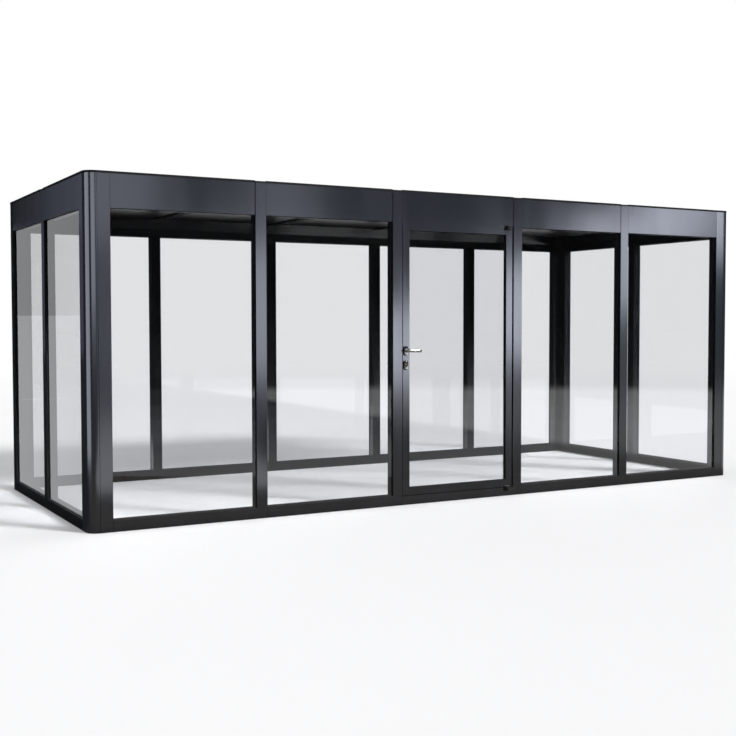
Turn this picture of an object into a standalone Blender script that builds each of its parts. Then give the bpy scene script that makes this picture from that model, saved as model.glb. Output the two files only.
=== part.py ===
"""Flat-roofed aluminium greenhouse, glazed on all four sides, with an outward-opening door.

Metres, +Z up. Every wall is drawn in its own frame as seen from outside: s runs from left to
right along the wall, d runs inward from the outer face, and z runs up from the ground.
"""
import math

import bmesh
import bpy
from mathutils import Matrix, Vector

# Overall size
LENGTH = 5.500
DEPTH = 2.250
HEIGHT = 2.250
WIDEST_BAY = 1.000

# Fits between pieces
SEAT_GAP = 0.0003
RUNNING_GAP = 0.0001

# Frame extrusions
POST_WIDTH = 0.155
NOSE_RADIUS = 0.072
NOSE_STEPS = 14
REVEAL_WIDTH = 0.003
REVEAL_DEPTH = 0.005
MULLION_WIDTH = 0.078
FRAME_DEPTH = 0.080
FRAME_WALL = 0.0035
JAMB_WALL = 0.005
EDGE_CHAMFER = 0.0015
HALVING_DEPTH = 0.040
SILL_HEIGHT = 0.074
HEADER_HEIGHT = 0.2135
HEADER_FLOOR = 0.0085
JOINT_WIDTH = 0.0045
JOINT_DEPTH = 0.010
COVE_START = 0.065
COVE_HEIGHT = 0.081
COVE_REACH = 0.014
LEDGE_THICKNESS = 0.0022
RAFTER_HEIGHT = 0.080

# Roof deck
DECK_THICKNESS = 0.0142
DECK_OVERHANG = 0.002
DECK_RIM = 0.036
DECK_TRAY_DROP = 0.0035
DECK_SEAM_WIDTH = 0.030
DECK_FALL = 0.003
DECK_CORNER_STEPS = 10
DECK_NOTCH_DROP = 0.0032
DECK_JOINT_DEPTH = 0.005
CEILING_THICKNESS = 0.002
CEILING_LAP = 0.002

# Glazing
GLASS_SETBACK = 0.013
GLASS_THICKNESS = 0.006
GASKET = 0.004
GLASS_BITE = 0.012
GROOVE_DEPTH = 0.014
SILL_GROOVE_DEPTH = 0.0095
HEADER_GROOVE_DEPTH = 0.026

# Door leaf and its opening
LEAF_DEPTH = 0.038
LEAF_WALL = 0.003
STILE_WIDTH = 0.056
TOP_RAIL_HEIGHT = 0.056
BOTTOM_RAIL_HEIGHT = 0.055
LEAF_GROOVE_DEPTH = 0.012
LEAF_GLASS_BITE = 0.010
LOCK_SIDE_GAP = 0.003
HINGE_SIDE_GAP = 0.012
HEAD_REBATE = 0.0045
HEAD_GAP = 0.0045
THRESHOLD_DROP = 0.010
FOOT_GAP = 0.005
SEAL_GAP = 0.003
LOCK_STOP_WIDTH = 0.008
HINGE_LIP_WIDTH = 0.020
HEAD_STOP_DROP = 0.012
SWING_CLEARANCE = 0.003

# Offset pivots of the door
PIVOT_INSET = 0.0478
PIVOT_PROUD = 0.006
PIVOT_RADIUS = 0.021
PIVOT_POCKET_EASE = 0.0005
PIVOT_CHAMFER = 0.0015
PIVOT_BARREL_HEIGHT = 0.026
PIVOT_CAP_HEIGHT = 0.0085
PIVOT_PIN_RADIUS = 0.004
TOP_PIN_LENGTH = 0.020
FOOT_PIN_LENGTH = 0.0075
ROUND_STEPS = 32

# Lever handles
HANDLE_INSET = 0.0218
HANDLE_HEIGHT = 1.1075
PLATE_WIDTH = 0.032
ROSE_HEIGHT = 0.070
PLATE_THICKNESS = 0.010
PLATE_ROUNDING = 0.0022
PLATE_STEPS = 10
COLLAR_RADIUS = 0.0100
COLLAR_PROUD = 0.003
COLLAR_TAPER = 0.002
NECK_RADIUS = 0.0078
LEVER_REACH = 0.0545
LEVER_LENGTH = 0.104
ELBOW_RADIUS = 0.015
ELBOW_STEPS = 6
GRIP_HALF_THICKNESS = 0.0045
GRIP_HALF_HEIGHT = 0.0105
TIP_ROUNDING = 0.005
LEVER_RING_POINTS = 20
SPINDLE_WIDTH = 0.008
SOCKET_EASE = 0.0003
SOCKET_DEPTH = 0.013

# Lock: profile cylinder, case, bolts and strike
CYLINDER_BELOW_HANDLE = 0.092
CYLINDER_RADIUS = 0.0085
CYLINDER_FIN_WIDTH = 0.010
CYLINDER_FIN_DROP = 0.0195
CYLINDER_PROUD = 0.0005
ESCUTCHEON_HEIGHT = 0.070
ESCUTCHEON_DROP = 0.011
PLUG_RADIUS = 0.0065
KEYWAY_WIDTH = 0.0022
KEYWAY_HEIGHT = 0.009
KEYWAY_DEPTH = 0.006
CAM_WIDTH = 0.010
CAM_HUB_RADIUS = 0.0080
CAM_REACH = 0.015
CAM_TOOTH_WIDTH = 0.006
CAM_CLEARANCE = 0.0010
CASE_THICKNESS = 0.015
CASE_WALL = 0.0015
CASE_LENGTH = 0.0375
CASE_TOP_ABOVE_HANDLE = 0.0425
CASE_BELOW_CYLINDER = 0.0305
FOREND_THICKNESS = 0.003
FOREND_WIDTH = 0.022
FOREND_HEIGHT = 0.244
BOLT_THICKNESS = 0.0110
BOLT_LENGTH = 0.0245
LATCH_ABOVE_HANDLE = 0.021
LATCH_HEIGHT = 0.020
LATCH_PROJECTION = 0.0022
LATCH_BEVEL = 0.0018
LATCH_TRAVEL = 0.009
DEADBOLT_BELOW_HANDLE = 0.0455
DEADBOLT_HEIGHT = 0.024
DEADBOLT_SET_BACK = 0.0004
TAIL_WIDTH = 0.006
TAIL_LENGTH = 0.004
SPINDLE_HOLE_RADIUS = 0.0067
STRIKE_THICKNESS = 0.0022
STRIKE_WIDTH = 0.024
STRIKE_MARGIN = 0.016
STRIKE_HOLE_EASE = 0.0012

# Places worked out from the sizes above
DECK_BOTTOM = HEIGHT - DECK_THICKNESS
FRAME_TOP = DECK_BOTTOM - SEAT_GAP
HEADER_BOTTOM = FRAME_TOP - HEADER_HEIGHT
COVE_BOTTOM = HEADER_BOTTOM + COVE_START
LEDGE_TOP = COVE_BOTTOM + COVE_HEIGHT + LEDGE_THICKNESS
LEDGE_EDGE = FRAME_DEPTH + COVE_REACH
GROOVE_FRONT = GLASS_SETBACK - GASKET
GROOVE_BACK = GLASS_SETBACK + GLASS_THICKNESS + GASKET
LONG_SPAN = LENGTH - 2 * POST_WIDTH + MULLION_WIDTH
SHORT_SPAN = DEPTH - 2 * POST_WIDTH + MULLION_WIDTH
LONG_WALL_BAYS = math.ceil(LONG_SPAN / (WIDEST_BAY + MULLION_WIDTH))
SHORT_WALL_BAYS = math.ceil(SHORT_SPAN / (WIDEST_BAY + MULLION_WIDTH))
DOOR_BAY = LONG_WALL_BAYS // 2
LONG_BAY = LONG_SPAN / LONG_WALL_BAYS - MULLION_WIDTH
SHORT_BAY = SHORT_SPAN / SHORT_WALL_BAYS - MULLION_WIDTH
THRESHOLD_TOP = SILL_HEIGHT - THRESHOLD_DROP
LEAF_BOTTOM = THRESHOLD_TOP + FOOT_GAP
LEAF_TOP = HEADER_BOTTOM + HEAD_REBATE - HEAD_GAP
DOOR_LEFT = POST_WIDTH + DOOR_BAY * (LONG_BAY + MULLION_WIDTH)
DOOR_RIGHT = DOOR_LEFT + LONG_BAY
LEAF_LEFT = DOOR_LEFT + LOCK_SIDE_GAP
LEAF_RIGHT = DOOR_RIGHT - HINGE_SIDE_GAP
STOP_FACE = LEAF_DEPTH + SEAL_GAP
PIVOT_S = LEAF_RIGHT - PIVOT_INSET
PIVOT_D = -PIVOT_PROUD
LEAF_CORNER_SWEEP = math.hypot(LEAF_RIGHT - PIVOT_S, LEAF_DEPTH - PIVOT_D)
LIP_FACE = PIVOT_D + LEAF_CORNER_SWEEP + SWING_CLEARANCE
SWING_REACH = math.sqrt(LEAF_CORNER_SWEEP**2 - (STOP_FACE - PIVOT_D) ** 2)
HINGE_ZONE_LEFT = PIVOT_S - SWING_REACH - SWING_CLEARANCE
HANDLE_S = LEAF_LEFT + HANDLE_INSET
CYLINDER_HEIGHT = HANDLE_HEIGHT - CYLINDER_BELOW_HANDLE
LATCH_Z = HANDLE_HEIGHT + LATCH_ABOVE_HANDLE
DEADBOLT_Z = HANDLE_HEIGHT - DEADBOLT_BELOW_HANDLE
LEAF_MIDDLE = LEAF_DEPTH / 2
FRONT_REACH = LEVER_REACH + GRIP_HALF_THICKNESS
PLAN_CENTRE = Vector((LENGTH / 2, (DEPTH + DECK_OVERHANG - FRONT_REACH) / 2, 0))

# Directions of a section's two axes and of its run, as columns, in a wall's frame
UPRIGHT = Matrix.Identity(4)
ALONG_WALL = Matrix(((0, 0, 1, 0), (1, 0, 0, 0), (0, 1, 0, 0), (0, 0, 0, 1)))
THROUGH_WALL = Matrix(((1, 0, 0, 0), (0, 0, -1, 0), (0, 1, 0, 0), (0, 0, 0, 1)))

# Colour, roughness and metallic value of each finish
FINISHES = {
    "powder_coat": ((0.045, 0.050, 0.060, 1.0), 0.38, 0.0),
    "roof_coat": ((0.030, 0.033, 0.040, 1.0), 0.50, 0.0),
    "glass": ((0.90, 0.95, 0.94, 1.0), 0.03, 0.0),
    "satin_chrome": ((0.62, 0.63, 0.65, 1.0), 0.22, 1.0),
    "steel": ((0.45, 0.46, 0.48, 1.0), 0.35, 1.0),
    "black_pivot": ((0.010, 0.010, 0.012, 1.0), 0.45, 0.0),
    "brass": ((0.70, 0.55, 0.28, 1.0), 0.30, 1.0),
}


def clear_scene():
    """Remove every object of the opening scene."""
    for item in list(bpy.data.objects):
        bpy.data.objects.remove(item)


def make_collection(name):
    """Add a collection under the scene's own."""
    collection = bpy.data.collections.new(name)
    bpy.context.scene.collection.children.link(collection)
    return collection


def finish(name):
    """Return the material of a finish, made on first use."""
    if name in bpy.data.materials:
        return bpy.data.materials[name]
    colour, roughness, metallic = FINISHES[name]
    material = bpy.data.materials.new(name)
    material.use_nodes = True
    shader = material.node_tree.nodes["Principled BSDF"]
    shader.inputs["Base Color"].default_value = colour
    shader.inputs["Roughness"].default_value = roughness
    shader.inputs["Metallic"].default_value = metallic
    if name == "glass":
        shader.inputs["Transmission Weight"].default_value = 1.0
    return material


def add_frame(name, parent, turn_degrees, location):
    """Add an empty that carries the pieces of one wall or one joint's axis."""
    frame = bpy.data.objects.new(name, None)
    PARTS.objects.link(frame)
    frame.parent = parent
    frame.rotation_euler = (0, 0, math.radians(turn_degrees))
    frame.location = location
    return frame


def add_piece(name, mesh, parent, finish_name, smooth_degrees=0):
    """Add a mesh as a named piece, drawn in the frame of the wall that its parent belongs to."""
    mesh.materials.clear()
    mesh.materials.append(finish(finish_name))
    piece = bpy.data.objects.new(name, mesh)
    PARTS.objects.link(piece)
    piece.parent = parent
    piece.location = -AXES.get(parent.name, Vector((0, 0, 0)))
    if smooth_degrees:
        mesh.shade_smooth()
        mesh.set_sharp_from_angle(angle=math.radians(smooth_degrees))
    return piece


def add_cutter(name, mesh, parent):
    """Add a mesh that only shapes other pieces."""
    cutter = bpy.data.objects.new(name, mesh)
    CUTTERS.objects.link(cutter)
    cutter.parent = parent
    cutter.location = -AXES.get(parent.name, Vector((0, 0, 0)))
    cutter.hide_render = True
    cutter.display_type = "WIRE"
    return cutter


def shape_with(piece, cutter, operation="DIFFERENCE"):
    """Cut a piece with another shape, or join that shape to it."""
    modifier = piece.modifiers.new(cutter.name, "BOOLEAN")
    modifier.operation = operation
    modifier.object = cutter


def box_mesh(name, boxes):
    """Make one mesh of separate boxes, each given by its low and high corners."""
    shape = bmesh.new()
    for low, high in boxes:
        low, high = Vector(low), Vector(high)
        size = Matrix.Diagonal((*(high - low), 1))
        bmesh.ops.create_cube(shape, size=1.0, matrix=Matrix.Translation((low + high) / 2) @ size)
    mesh = bpy.data.meshes.new(name)
    shape.to_mesh(mesh)
    shape.free()
    return mesh


def round_mesh(name, radius, centre, half_length, axis="Z"):
    """Make a cylinder about an upright axis, or about one that runs through the wall."""
    turn = Matrix.Rotation(math.pi / 2, 4, "X") if axis == "D" else Matrix.Identity(4)
    shape = bmesh.new()
    bmesh.ops.create_cone(
        shape, cap_ends=True, segments=ROUND_STEPS, radius1=radius, radius2=radius,
        depth=2 * half_length, matrix=Matrix.Translation(centre) @ turn,
    )
    mesh = bpy.data.meshes.new(name)
    shape.to_mesh(mesh)
    shape.free()
    return mesh


def extrusion_mesh(name, loops, start, length, directions):
    """Run an outline and its hollows along a straight line, as a closed solid."""
    curve = bpy.data.curves.new(name, "CURVE")
    curve.dimensions = "2D"
    curve.fill_mode = "BOTH"
    curve.extrude = length / 2
    for loop in loops:
        spline = curve.splines.new("POLY")
        spline.points.add(len(loop) - 1)
        for point, (across, up) in zip(spline.points, loop):
            point.co = (across, up, 0, 1)
        spline.use_cyclic_u = True
    holder = bpy.data.objects.new(name, curve)
    PARTS.objects.link(holder)
    evaluated = holder.evaluated_get(bpy.context.evaluated_depsgraph_get())
    mesh = bpy.data.meshes.new_from_object(evaluated)
    bpy.data.objects.remove(holder)
    shape = bmesh.new()
    shape.from_mesh(mesh)
    bmesh.ops.remove_doubles(shape, verts=shape.verts, dist=1e-6)
    bmesh.ops.recalc_face_normals(shape, faces=shape.faces)
    shape.to_mesh(mesh)
    shape.free()
    middle = Matrix.Translation((0, 0, length / 2))
    mesh.transform(Matrix.Translation(start) @ directions @ middle)
    return mesh


def turned_piece(name, profile, parent, finish_name, centre):
    """Turn a profile of radius and height about an upright axis."""
    mesh = bpy.data.meshes.new(name)
    points = [(radius, 0, height) for radius, height in profile]
    edges = [(index, index + 1) for index in range(len(profile) - 1)]
    mesh.from_pydata(points, edges, [])
    mesh.transform(Matrix.Translation((0, 0, centre[2])))
    piece = add_piece(name, mesh, parent, finish_name)
    piece.location = Vector((centre[0], centre[1], 0)) - AXES.get(parent.name, Vector((0, 0, 0)))
    screw = piece.modifiers.new("Turn", "SCREW")
    screw.steps = ROUND_STEPS
    screw.render_steps = ROUND_STEPS
    screw.use_merge_vertices = True
    screw.merge_threshold = 0.00001
    screw.use_smooth_shade = False
    return piece


def rectangle(left, bottom, right, top):
    """Give the corners of a rectangle, anticlockwise."""
    return [(left, bottom), (right, bottom), (right, top), (left, top)]


def arc(centre, radius, start_degrees, end_degrees, steps):
    """Give points along an arc, both ends included."""
    points = []
    for step in range(steps + 1):
        angle = math.radians(start_degrees + (end_degrees - start_degrees) * step / steps)
        points.append((centre[0] + radius * math.cos(angle), centre[1] + radius * math.sin(angle)))
    return points


def circle(centre, radius):
    """Give the points of a full circle."""
    return arc(centre, radius, 0, 360 - 360 / ROUND_STEPS, ROUND_STEPS - 1)


def mullion_starts(bays, bay):
    """Give the place along a wall where each of its mullions starts."""
    return [POST_WIDTH + (index + 1) * bay + index * MULLION_WIDTH for index in range(bays - 1)]


def post_loops():
    """Outline a corner post: two flat legs, a round nose between shadow grooves, one hollow."""
    width, nose, deep = POST_WIDTH, NOSE_RADIUS, FRAME_DEPTH
    outline = [(nose + REVEAL_WIDTH, 0), (width - EDGE_CHAMFER, 0), (width, EDGE_CHAMFER)]
    outline += [(width, GROOVE_FRONT), (width - GROOVE_DEPTH, GROOVE_FRONT)]
    outline += [(width - GROOVE_DEPTH, GROOVE_BACK), (width, GROOVE_BACK), (width, deep), (deep, deep)]
    outline += [(deep, width), (GROOVE_BACK, width), (GROOVE_BACK, width - GROOVE_DEPTH)]
    outline += [(GROOVE_FRONT, width - GROOVE_DEPTH), (GROOVE_FRONT, width), (EDGE_CHAMFER, width)]
    outline += [(0, width - EDGE_CHAMFER), (0, nose + REVEAL_WIDTH)]
    outline += [(REVEAL_DEPTH, nose + REVEAL_WIDTH), (REVEAL_DEPTH, nose)]
    outline += arc((nose, nose), nose, 180, 270, NOSE_STEPS)
    outline += [(nose, REVEAL_DEPTH), (nose + REVEAL_WIDTH, REVEAL_DEPTH)]
    near, far, back = FRAME_WALL, width - FRAME_WALL, deep - FRAME_WALL
    core, step = GROOVE_BACK + FRAME_WALL, width - GROOVE_DEPTH - FRAME_WALL
    flat = nose + REVEAL_WIDTH + FRAME_WALL
    inner_nose = arc((nose, nose), nose - REVEAL_DEPTH - FRAME_WALL, 180, 270, NOSE_STEPS)
    hollow = inner_nose + [(flat, REVEAL_DEPTH + FRAME_WALL), (flat, near), (step, near), (step, core)]
    hollow += [(far, core), (far, back), (back, back), (back, far), (core, far), (core, step)]
    hollow += [(near, step), (near, flat), (REVEAL_DEPTH + FRAME_WALL, flat)]
    return [outline, hollow]


def glazed_side():
    """Give a mullion's glazed side as steps inward from the side, with its hollow's side."""
    side = [(0, EDGE_CHAMFER), (0, GROOVE_FRONT), (GROOVE_DEPTH, GROOVE_FRONT)]
    side += [(GROOVE_DEPTH, GROOVE_BACK), (0, GROOVE_BACK), (0, FRAME_DEPTH)]
    core = GROOVE_DEPTH + FRAME_WALL
    hollow = [(core, FRAME_WALL), (core, GROOVE_BACK + FRAME_WALL)]
    hollow += [(FRAME_WALL, GROOVE_BACK + FRAME_WALL), (FRAME_WALL, FRAME_DEPTH - FRAME_WALL)]
    return side, hollow


def jamb_side(stop_face, stop_width):
    """Give a mullion's door side, with a stop that stands out behind the leaf."""
    side = [(0, EDGE_CHAMFER), (0, stop_face), (-stop_width, stop_face), (-stop_width, FRAME_DEPTH)]
    hollow = [(JAMB_WALL, FRAME_WALL), (JAMB_WALL, FRAME_DEPTH - FRAME_WALL)]
    return side, hollow


def mullion_loops(left, right):
    """Outline a mullion from its left and right sides."""
    outline = [(MULLION_WIDTH - EDGE_CHAMFER, 0)]
    outline += [(MULLION_WIDTH - inset, deep) for inset, deep in right[0]]
    outline += [(inset, deep) for inset, deep in reversed(left[0])]
    outline += [(EDGE_CHAMFER, 0)]
    hollow = [(MULLION_WIDTH - inset, deep) for inset, deep in right[1]]
    hollow += [(inset, deep) for inset, deep in reversed(left[1])]
    return [outline, hollow]


def halve_mullion(mullion, start, wall):
    """Cut a mullion's back half away where the sill and the header pass behind it."""
    side_room = 2 * HINGE_LIP_WIDTH
    left, right = start - side_room, start + MULLION_WIDTH + side_room
    back = 2 * FRAME_DEPTH
    foot = ((left, HALVING_DEPTH, -SILL_HEIGHT), (right, back, SILL_HEIGHT + SEAT_GAP))
    head = ((left, HALVING_DEPTH, HEADER_BOTTOM - SEAT_GAP), (right, back, 2 * HEIGHT))
    shape_with(mullion, add_cutter(mullion.name + "_halving", box_mesh("halving", [foot, head]), wall))


def notch_boxes(starts):
    """Give the boxes that let the mullions' front halves into a sill or a header."""
    boxes = []
    for start in starts:
        low = (start - SEAT_GAP, -FRAME_DEPTH, -SILL_HEIGHT)
        high = (start + MULLION_WIDTH + SEAT_GAP, HALVING_DEPTH + SEAT_GAP, 2 * HEIGHT)
        boxes.append((low, high))
    return boxes


def joint_boxes(starts, depth):
    """Give the boxes of the open joints that part the fascia at each mullion's left side."""
    boxes = []
    for start in starts:
        low = (start - JOINT_WIDTH, -FRAME_DEPTH, HEADER_BOTTOM - SILL_HEIGHT)
        boxes.append((low, (start + MULLION_WIDTH / 2, depth, 2 * HEIGHT)))
    return boxes


def groove_boxes(bay_lefts, bay, bottom, top):
    """Give the boxes of the glazing grooves of the fixed panes, one to a bay."""
    boxes = []
    for left in bay_lefts:
        boxes.append(((left - SEAT_GAP, GROOVE_FRONT, bottom), (left + bay + SEAT_GAP, GROOVE_BACK, top)))
    return boxes


def build_wall(name, wall, wall_length, bays, bay, door_bay=None):
    """Build one wall: sill, header, mullions and fixed panes."""
    run = wall_length - 2 * (POST_WIDTH + SEAT_GAP)
    first = POST_WIDTH + SEAT_GAP
    starts = mullion_starts(bays, bay)
    lefts = [POST_WIDTH + index * (bay + MULLION_WIDTH) for index in range(bays) if index != door_bay]
    sill = build_rail(name + "_sill", wall, first, run, sill_loops())
    header = build_rail(name + "_header", wall, first, run, header_loops())
    sill_grooves = groove_boxes(lefts, bay, SILL_HEIGHT - SILL_GROOVE_DEPTH, 2 * SILL_HEIGHT)
    header_top = HEADER_BOTTOM + HEADER_GROOVE_DEPTH
    header_grooves = groove_boxes(lefts, bay, HEADER_BOTTOM - SILL_HEIGHT, header_top)
    shape_with(sill, add_cutter(sill.name + "_grooves", box_mesh("grooves", sill_grooves), wall))
    shape_with(header, add_cutter(header.name + "_grooves", box_mesh("grooves", header_grooves), wall))
    notches = add_cutter(name + "_notches", box_mesh("notches", notch_boxes(starts)), wall)
    shape_with(sill, notches)
    shape_with(header, notches)
    joints = box_mesh("joints", joint_boxes(starts, JOINT_DEPTH))
    shape_with(header, add_cutter(name + "_fascia_joints", joints, wall))
    for index, start in enumerate(starts):
        left, right = glazed_side(), glazed_side()
        if index + 1 == door_bay:
            right = jamb_side(STOP_FACE, LOCK_STOP_WIDTH)
        if index == door_bay:
            left = jamb_side(LIP_FACE, HINGE_LIP_WIDTH)
        loops = mullion_loops(left, right)
        mesh = extrusion_mesh("mullion", loops, (start, 0, 0), FRAME_TOP, UPRIGHT)
        mullion = add_piece(f"{name}_mullion_{index + 1}", mesh, wall, "powder_coat")
        halve_mullion(mullion, start, wall)
    for number, left in enumerate(lefts, start=1):
        build_pane(f"{name}_pane_{number}", wall, left, bay)
    return sill, header


def build_rail(name, wall, start, run, loops):
    """Run a sill or header extrusion along a wall between its corner posts."""
    mesh = extrusion_mesh(name, loops, (start, 0, 0), run, ALONG_WALL)
    return add_piece(name, mesh, wall, "powder_coat")


def sill_loops():
    """Outline a sill as depth and height, with its hollow below the glazing groove."""
    hollow_top = SILL_HEIGHT - THRESHOLD_DROP - FRAME_WALL
    outline = [(0, 0), (FRAME_DEPTH, 0), (FRAME_DEPTH, SILL_HEIGHT), (EDGE_CHAMFER, SILL_HEIGHT)]
    outline += [(0, SILL_HEIGHT - EDGE_CHAMFER)]
    return [outline, rectangle(FRAME_WALL, FRAME_WALL, FRAME_DEPTH - FRAME_WALL, hollow_top)]


def header_loops():
    """Outline a header: fascia outside, and inside a cove under the ledge that carries the roof."""
    bottom, top = HEADER_BOTTOM, FRAME_TOP
    outline = [(EDGE_CHAMFER, bottom), (FRAME_DEPTH, bottom), (FRAME_DEPTH, COVE_BOTTOM)]
    outline += [(LEDGE_EDGE, LEDGE_TOP - LEDGE_THICKNESS), (LEDGE_EDGE, LEDGE_TOP)]
    outline += [(FRAME_DEPTH, LEDGE_TOP), (FRAME_DEPTH, top), (0, top), (0, bottom + EDGE_CHAMFER)]
    floor = bottom + HEADER_FLOOR
    ledge = bottom + HEADER_GROOVE_DEPTH + FRAME_WALL
    core = GROOVE_BACK + FRAME_WALL
    back = FRAME_DEPTH - FRAME_WALL
    roof = top - FRAME_WALL
    hollow = [(core, floor), (back, floor), (back, roof), (FRAME_WALL, roof), (FRAME_WALL, ledge)]
    return [outline, hollow + [(core, ledge)]]


def build_pane(name, wall, left, bay):
    """Set a fixed pane on the sill groove's floor, held by its edges in the grooves."""
    low = (left - GLASS_BITE, GLASS_SETBACK, SILL_HEIGHT - SILL_GROOVE_DEPTH + SEAT_GAP)
    high = (left + bay + GLASS_BITE, GLASS_SETBACK + GLASS_THICKNESS, HEADER_BOTTOM + GLASS_BITE)
    add_piece(name, box_mesh(name, [(low, high)]), wall, "glass")


def open_doorway(sill, header, wall):
    """Rebate the front sill and header for the leaf, and add the head stop behind it."""
    front, back = -FRAME_DEPTH, STOP_FACE
    foot = ((DOOR_LEFT, front, THRESHOLD_TOP), (DOOR_RIGHT, back, 2 * SILL_HEIGHT))
    head_low = HEADER_BOTTOM - SILL_HEIGHT
    rebate_top = HEADER_BOTTOM + HEAD_REBATE
    head = ((DOOR_LEFT, front, head_low), (DOOR_RIGHT, back, rebate_top))
    swing_foot = ((HINGE_ZONE_LEFT, LEAF_MIDDLE, THRESHOLD_TOP), (DOOR_RIGHT, LIP_FACE, 2 * SILL_HEIGHT))
    swing_head = ((HINGE_ZONE_LEFT, LEAF_MIDDLE, head_low), (DOOR_RIGHT, LIP_FACE, rebate_top))
    shape_with(sill, add_cutter("threshold_rebate", box_mesh("rebate", [foot]), wall))
    shape_with(sill, add_cutter("threshold_swing_room", box_mesh("room", [swing_foot]), wall))
    shape_with(header, add_cutter("head_rebate", box_mesh("rebate", [head]), wall))
    shape_with(header, add_cutter("head_swing_room", box_mesh("room", [swing_head]), wall))
    stop_left = DOOR_LEFT + LOCK_STOP_WIDTH + SEAT_GAP
    stop_low = (stop_left, STOP_FACE, HEADER_BOTTOM - HEAD_STOP_DROP)
    stop_high = (HINGE_ZONE_LEFT, FRAME_DEPTH, HEADER_BOTTOM + HEADER_FLOOR / 2)
    shape_with(header, add_cutter("head_stop", box_mesh("stop", [(stop_low, stop_high)]), wall), "UNION")


def build_posts(walls):
    """Stand a corner post at the left end of every wall."""
    names = {"front": "front_left", "right": "front_right", "rear": "rear_right", "left": "rear_left"}
    for wall_name, corner in names.items():
        mesh = extrusion_mesh("corner_post", post_loops(), (0, 0, 0), FRAME_TOP, UPRIGHT)
        add_piece("corner_post_" + corner, mesh, walls[wall_name], "powder_coat", smooth_degrees=20)


def build_rafters(wall):
    """Span the roof from ledge to ledge of the front and rear headers, in line with the mullions."""
    top = FRAME_TOP
    bottom = top - RAFTER_HEIGHT
    length = DEPTH - 2 * (FRAME_DEPTH + SEAT_GAP)
    for index, start in enumerate(mullion_starts(LONG_WALL_BAYS, LONG_BAY), start=1):
        end = start + MULLION_WIDTH
        outline = rectangle(start, bottom, end, top)
        inner_bottom, inner_top = bottom + FRAME_WALL, top - FRAME_WALL
        hollow = rectangle(start + FRAME_WALL, inner_bottom, end - FRAME_WALL, inner_top)
        back = (0, DEPTH - FRAME_DEPTH - SEAT_GAP, 0)
        mesh = extrusion_mesh("rafter", [outline, hollow], back, length, THROUGH_WALL)
        rafter = add_piece(f"rafter_{index}", mesh, wall, "powder_coat")
        seat = LEDGE_TOP + SEAT_GAP
        room = LEDGE_EDGE + SEAT_GAP
        left, right = start - MULLION_WIDTH, end + MULLION_WIDTH
        near = ((left, 0, bottom - RAFTER_HEIGHT), (right, room, seat))
        far = ((left, DEPTH - room, bottom - RAFTER_HEIGHT), (right, DEPTH, seat))
        seats = box_mesh("seats", [near, far])
        shape_with(rafter, add_cutter(f"rafter_{index}_seats", seats, wall))


def ceiling_mesh():
    """Draw the ceiling pans that hang from the deck between the rafters, one to a bay."""
    starts = mullion_starts(LONG_WALL_BAYS, LONG_BAY)
    lefts = [FRAME_DEPTH] + [start + MULLION_WIDTH for start in starts]
    rights = starts + [LENGTH - FRAME_DEPTH]
    bottom, top = LEDGE_TOP + SEAT_GAP, DECK_BOTTOM + CEILING_LAP
    floor = bottom + CEILING_THICKNESS
    pans = []
    for left, right in zip(lefts, rights):
        left, right = left + SEAT_GAP, right - SEAT_GAP
        near, far = left + CEILING_THICKNESS, right - CEILING_THICKNESS
        pan = [(left, bottom), (right, bottom), (right, top), (far, top), (far, floor)]
        pans.append(pan + [(near, floor), (near, top), (left, top)])
    length = DEPTH - 2 * (FRAME_DEPTH + SEAT_GAP)
    back = (0, DEPTH - FRAME_DEPTH - SEAT_GAP, 0)
    return extrusion_mesh("ceiling", pans, back, length, THROUGH_WALL)


def part_deck_edge(deck, name, wall, starts):
    """Part the deck's rim over each mullion of a wall and lower it there."""
    notches = []
    for start in starts:
        low = (start - SEAT_GAP, -FRAME_DEPTH, HEIGHT - DECK_NOTCH_DROP)
        notches.append((low, (start + MULLION_WIDTH, DECK_RIM - DECK_OVERHANG, 2 * HEIGHT)))
    joints = []
    for start in starts:
        low = (start - JOINT_WIDTH, -FRAME_DEPTH, HEADER_BOTTOM)
        joints.append((low, (start, DECK_JOINT_DEPTH - DECK_OVERHANG, 2 * HEIGHT)))
    shape_with(deck, add_cutter(name + "_rim_notches", box_mesh("notches", notches), wall))
    shape_with(deck, add_cutter(name + "_rim_joints", box_mesh("joints", joints), wall))


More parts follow.
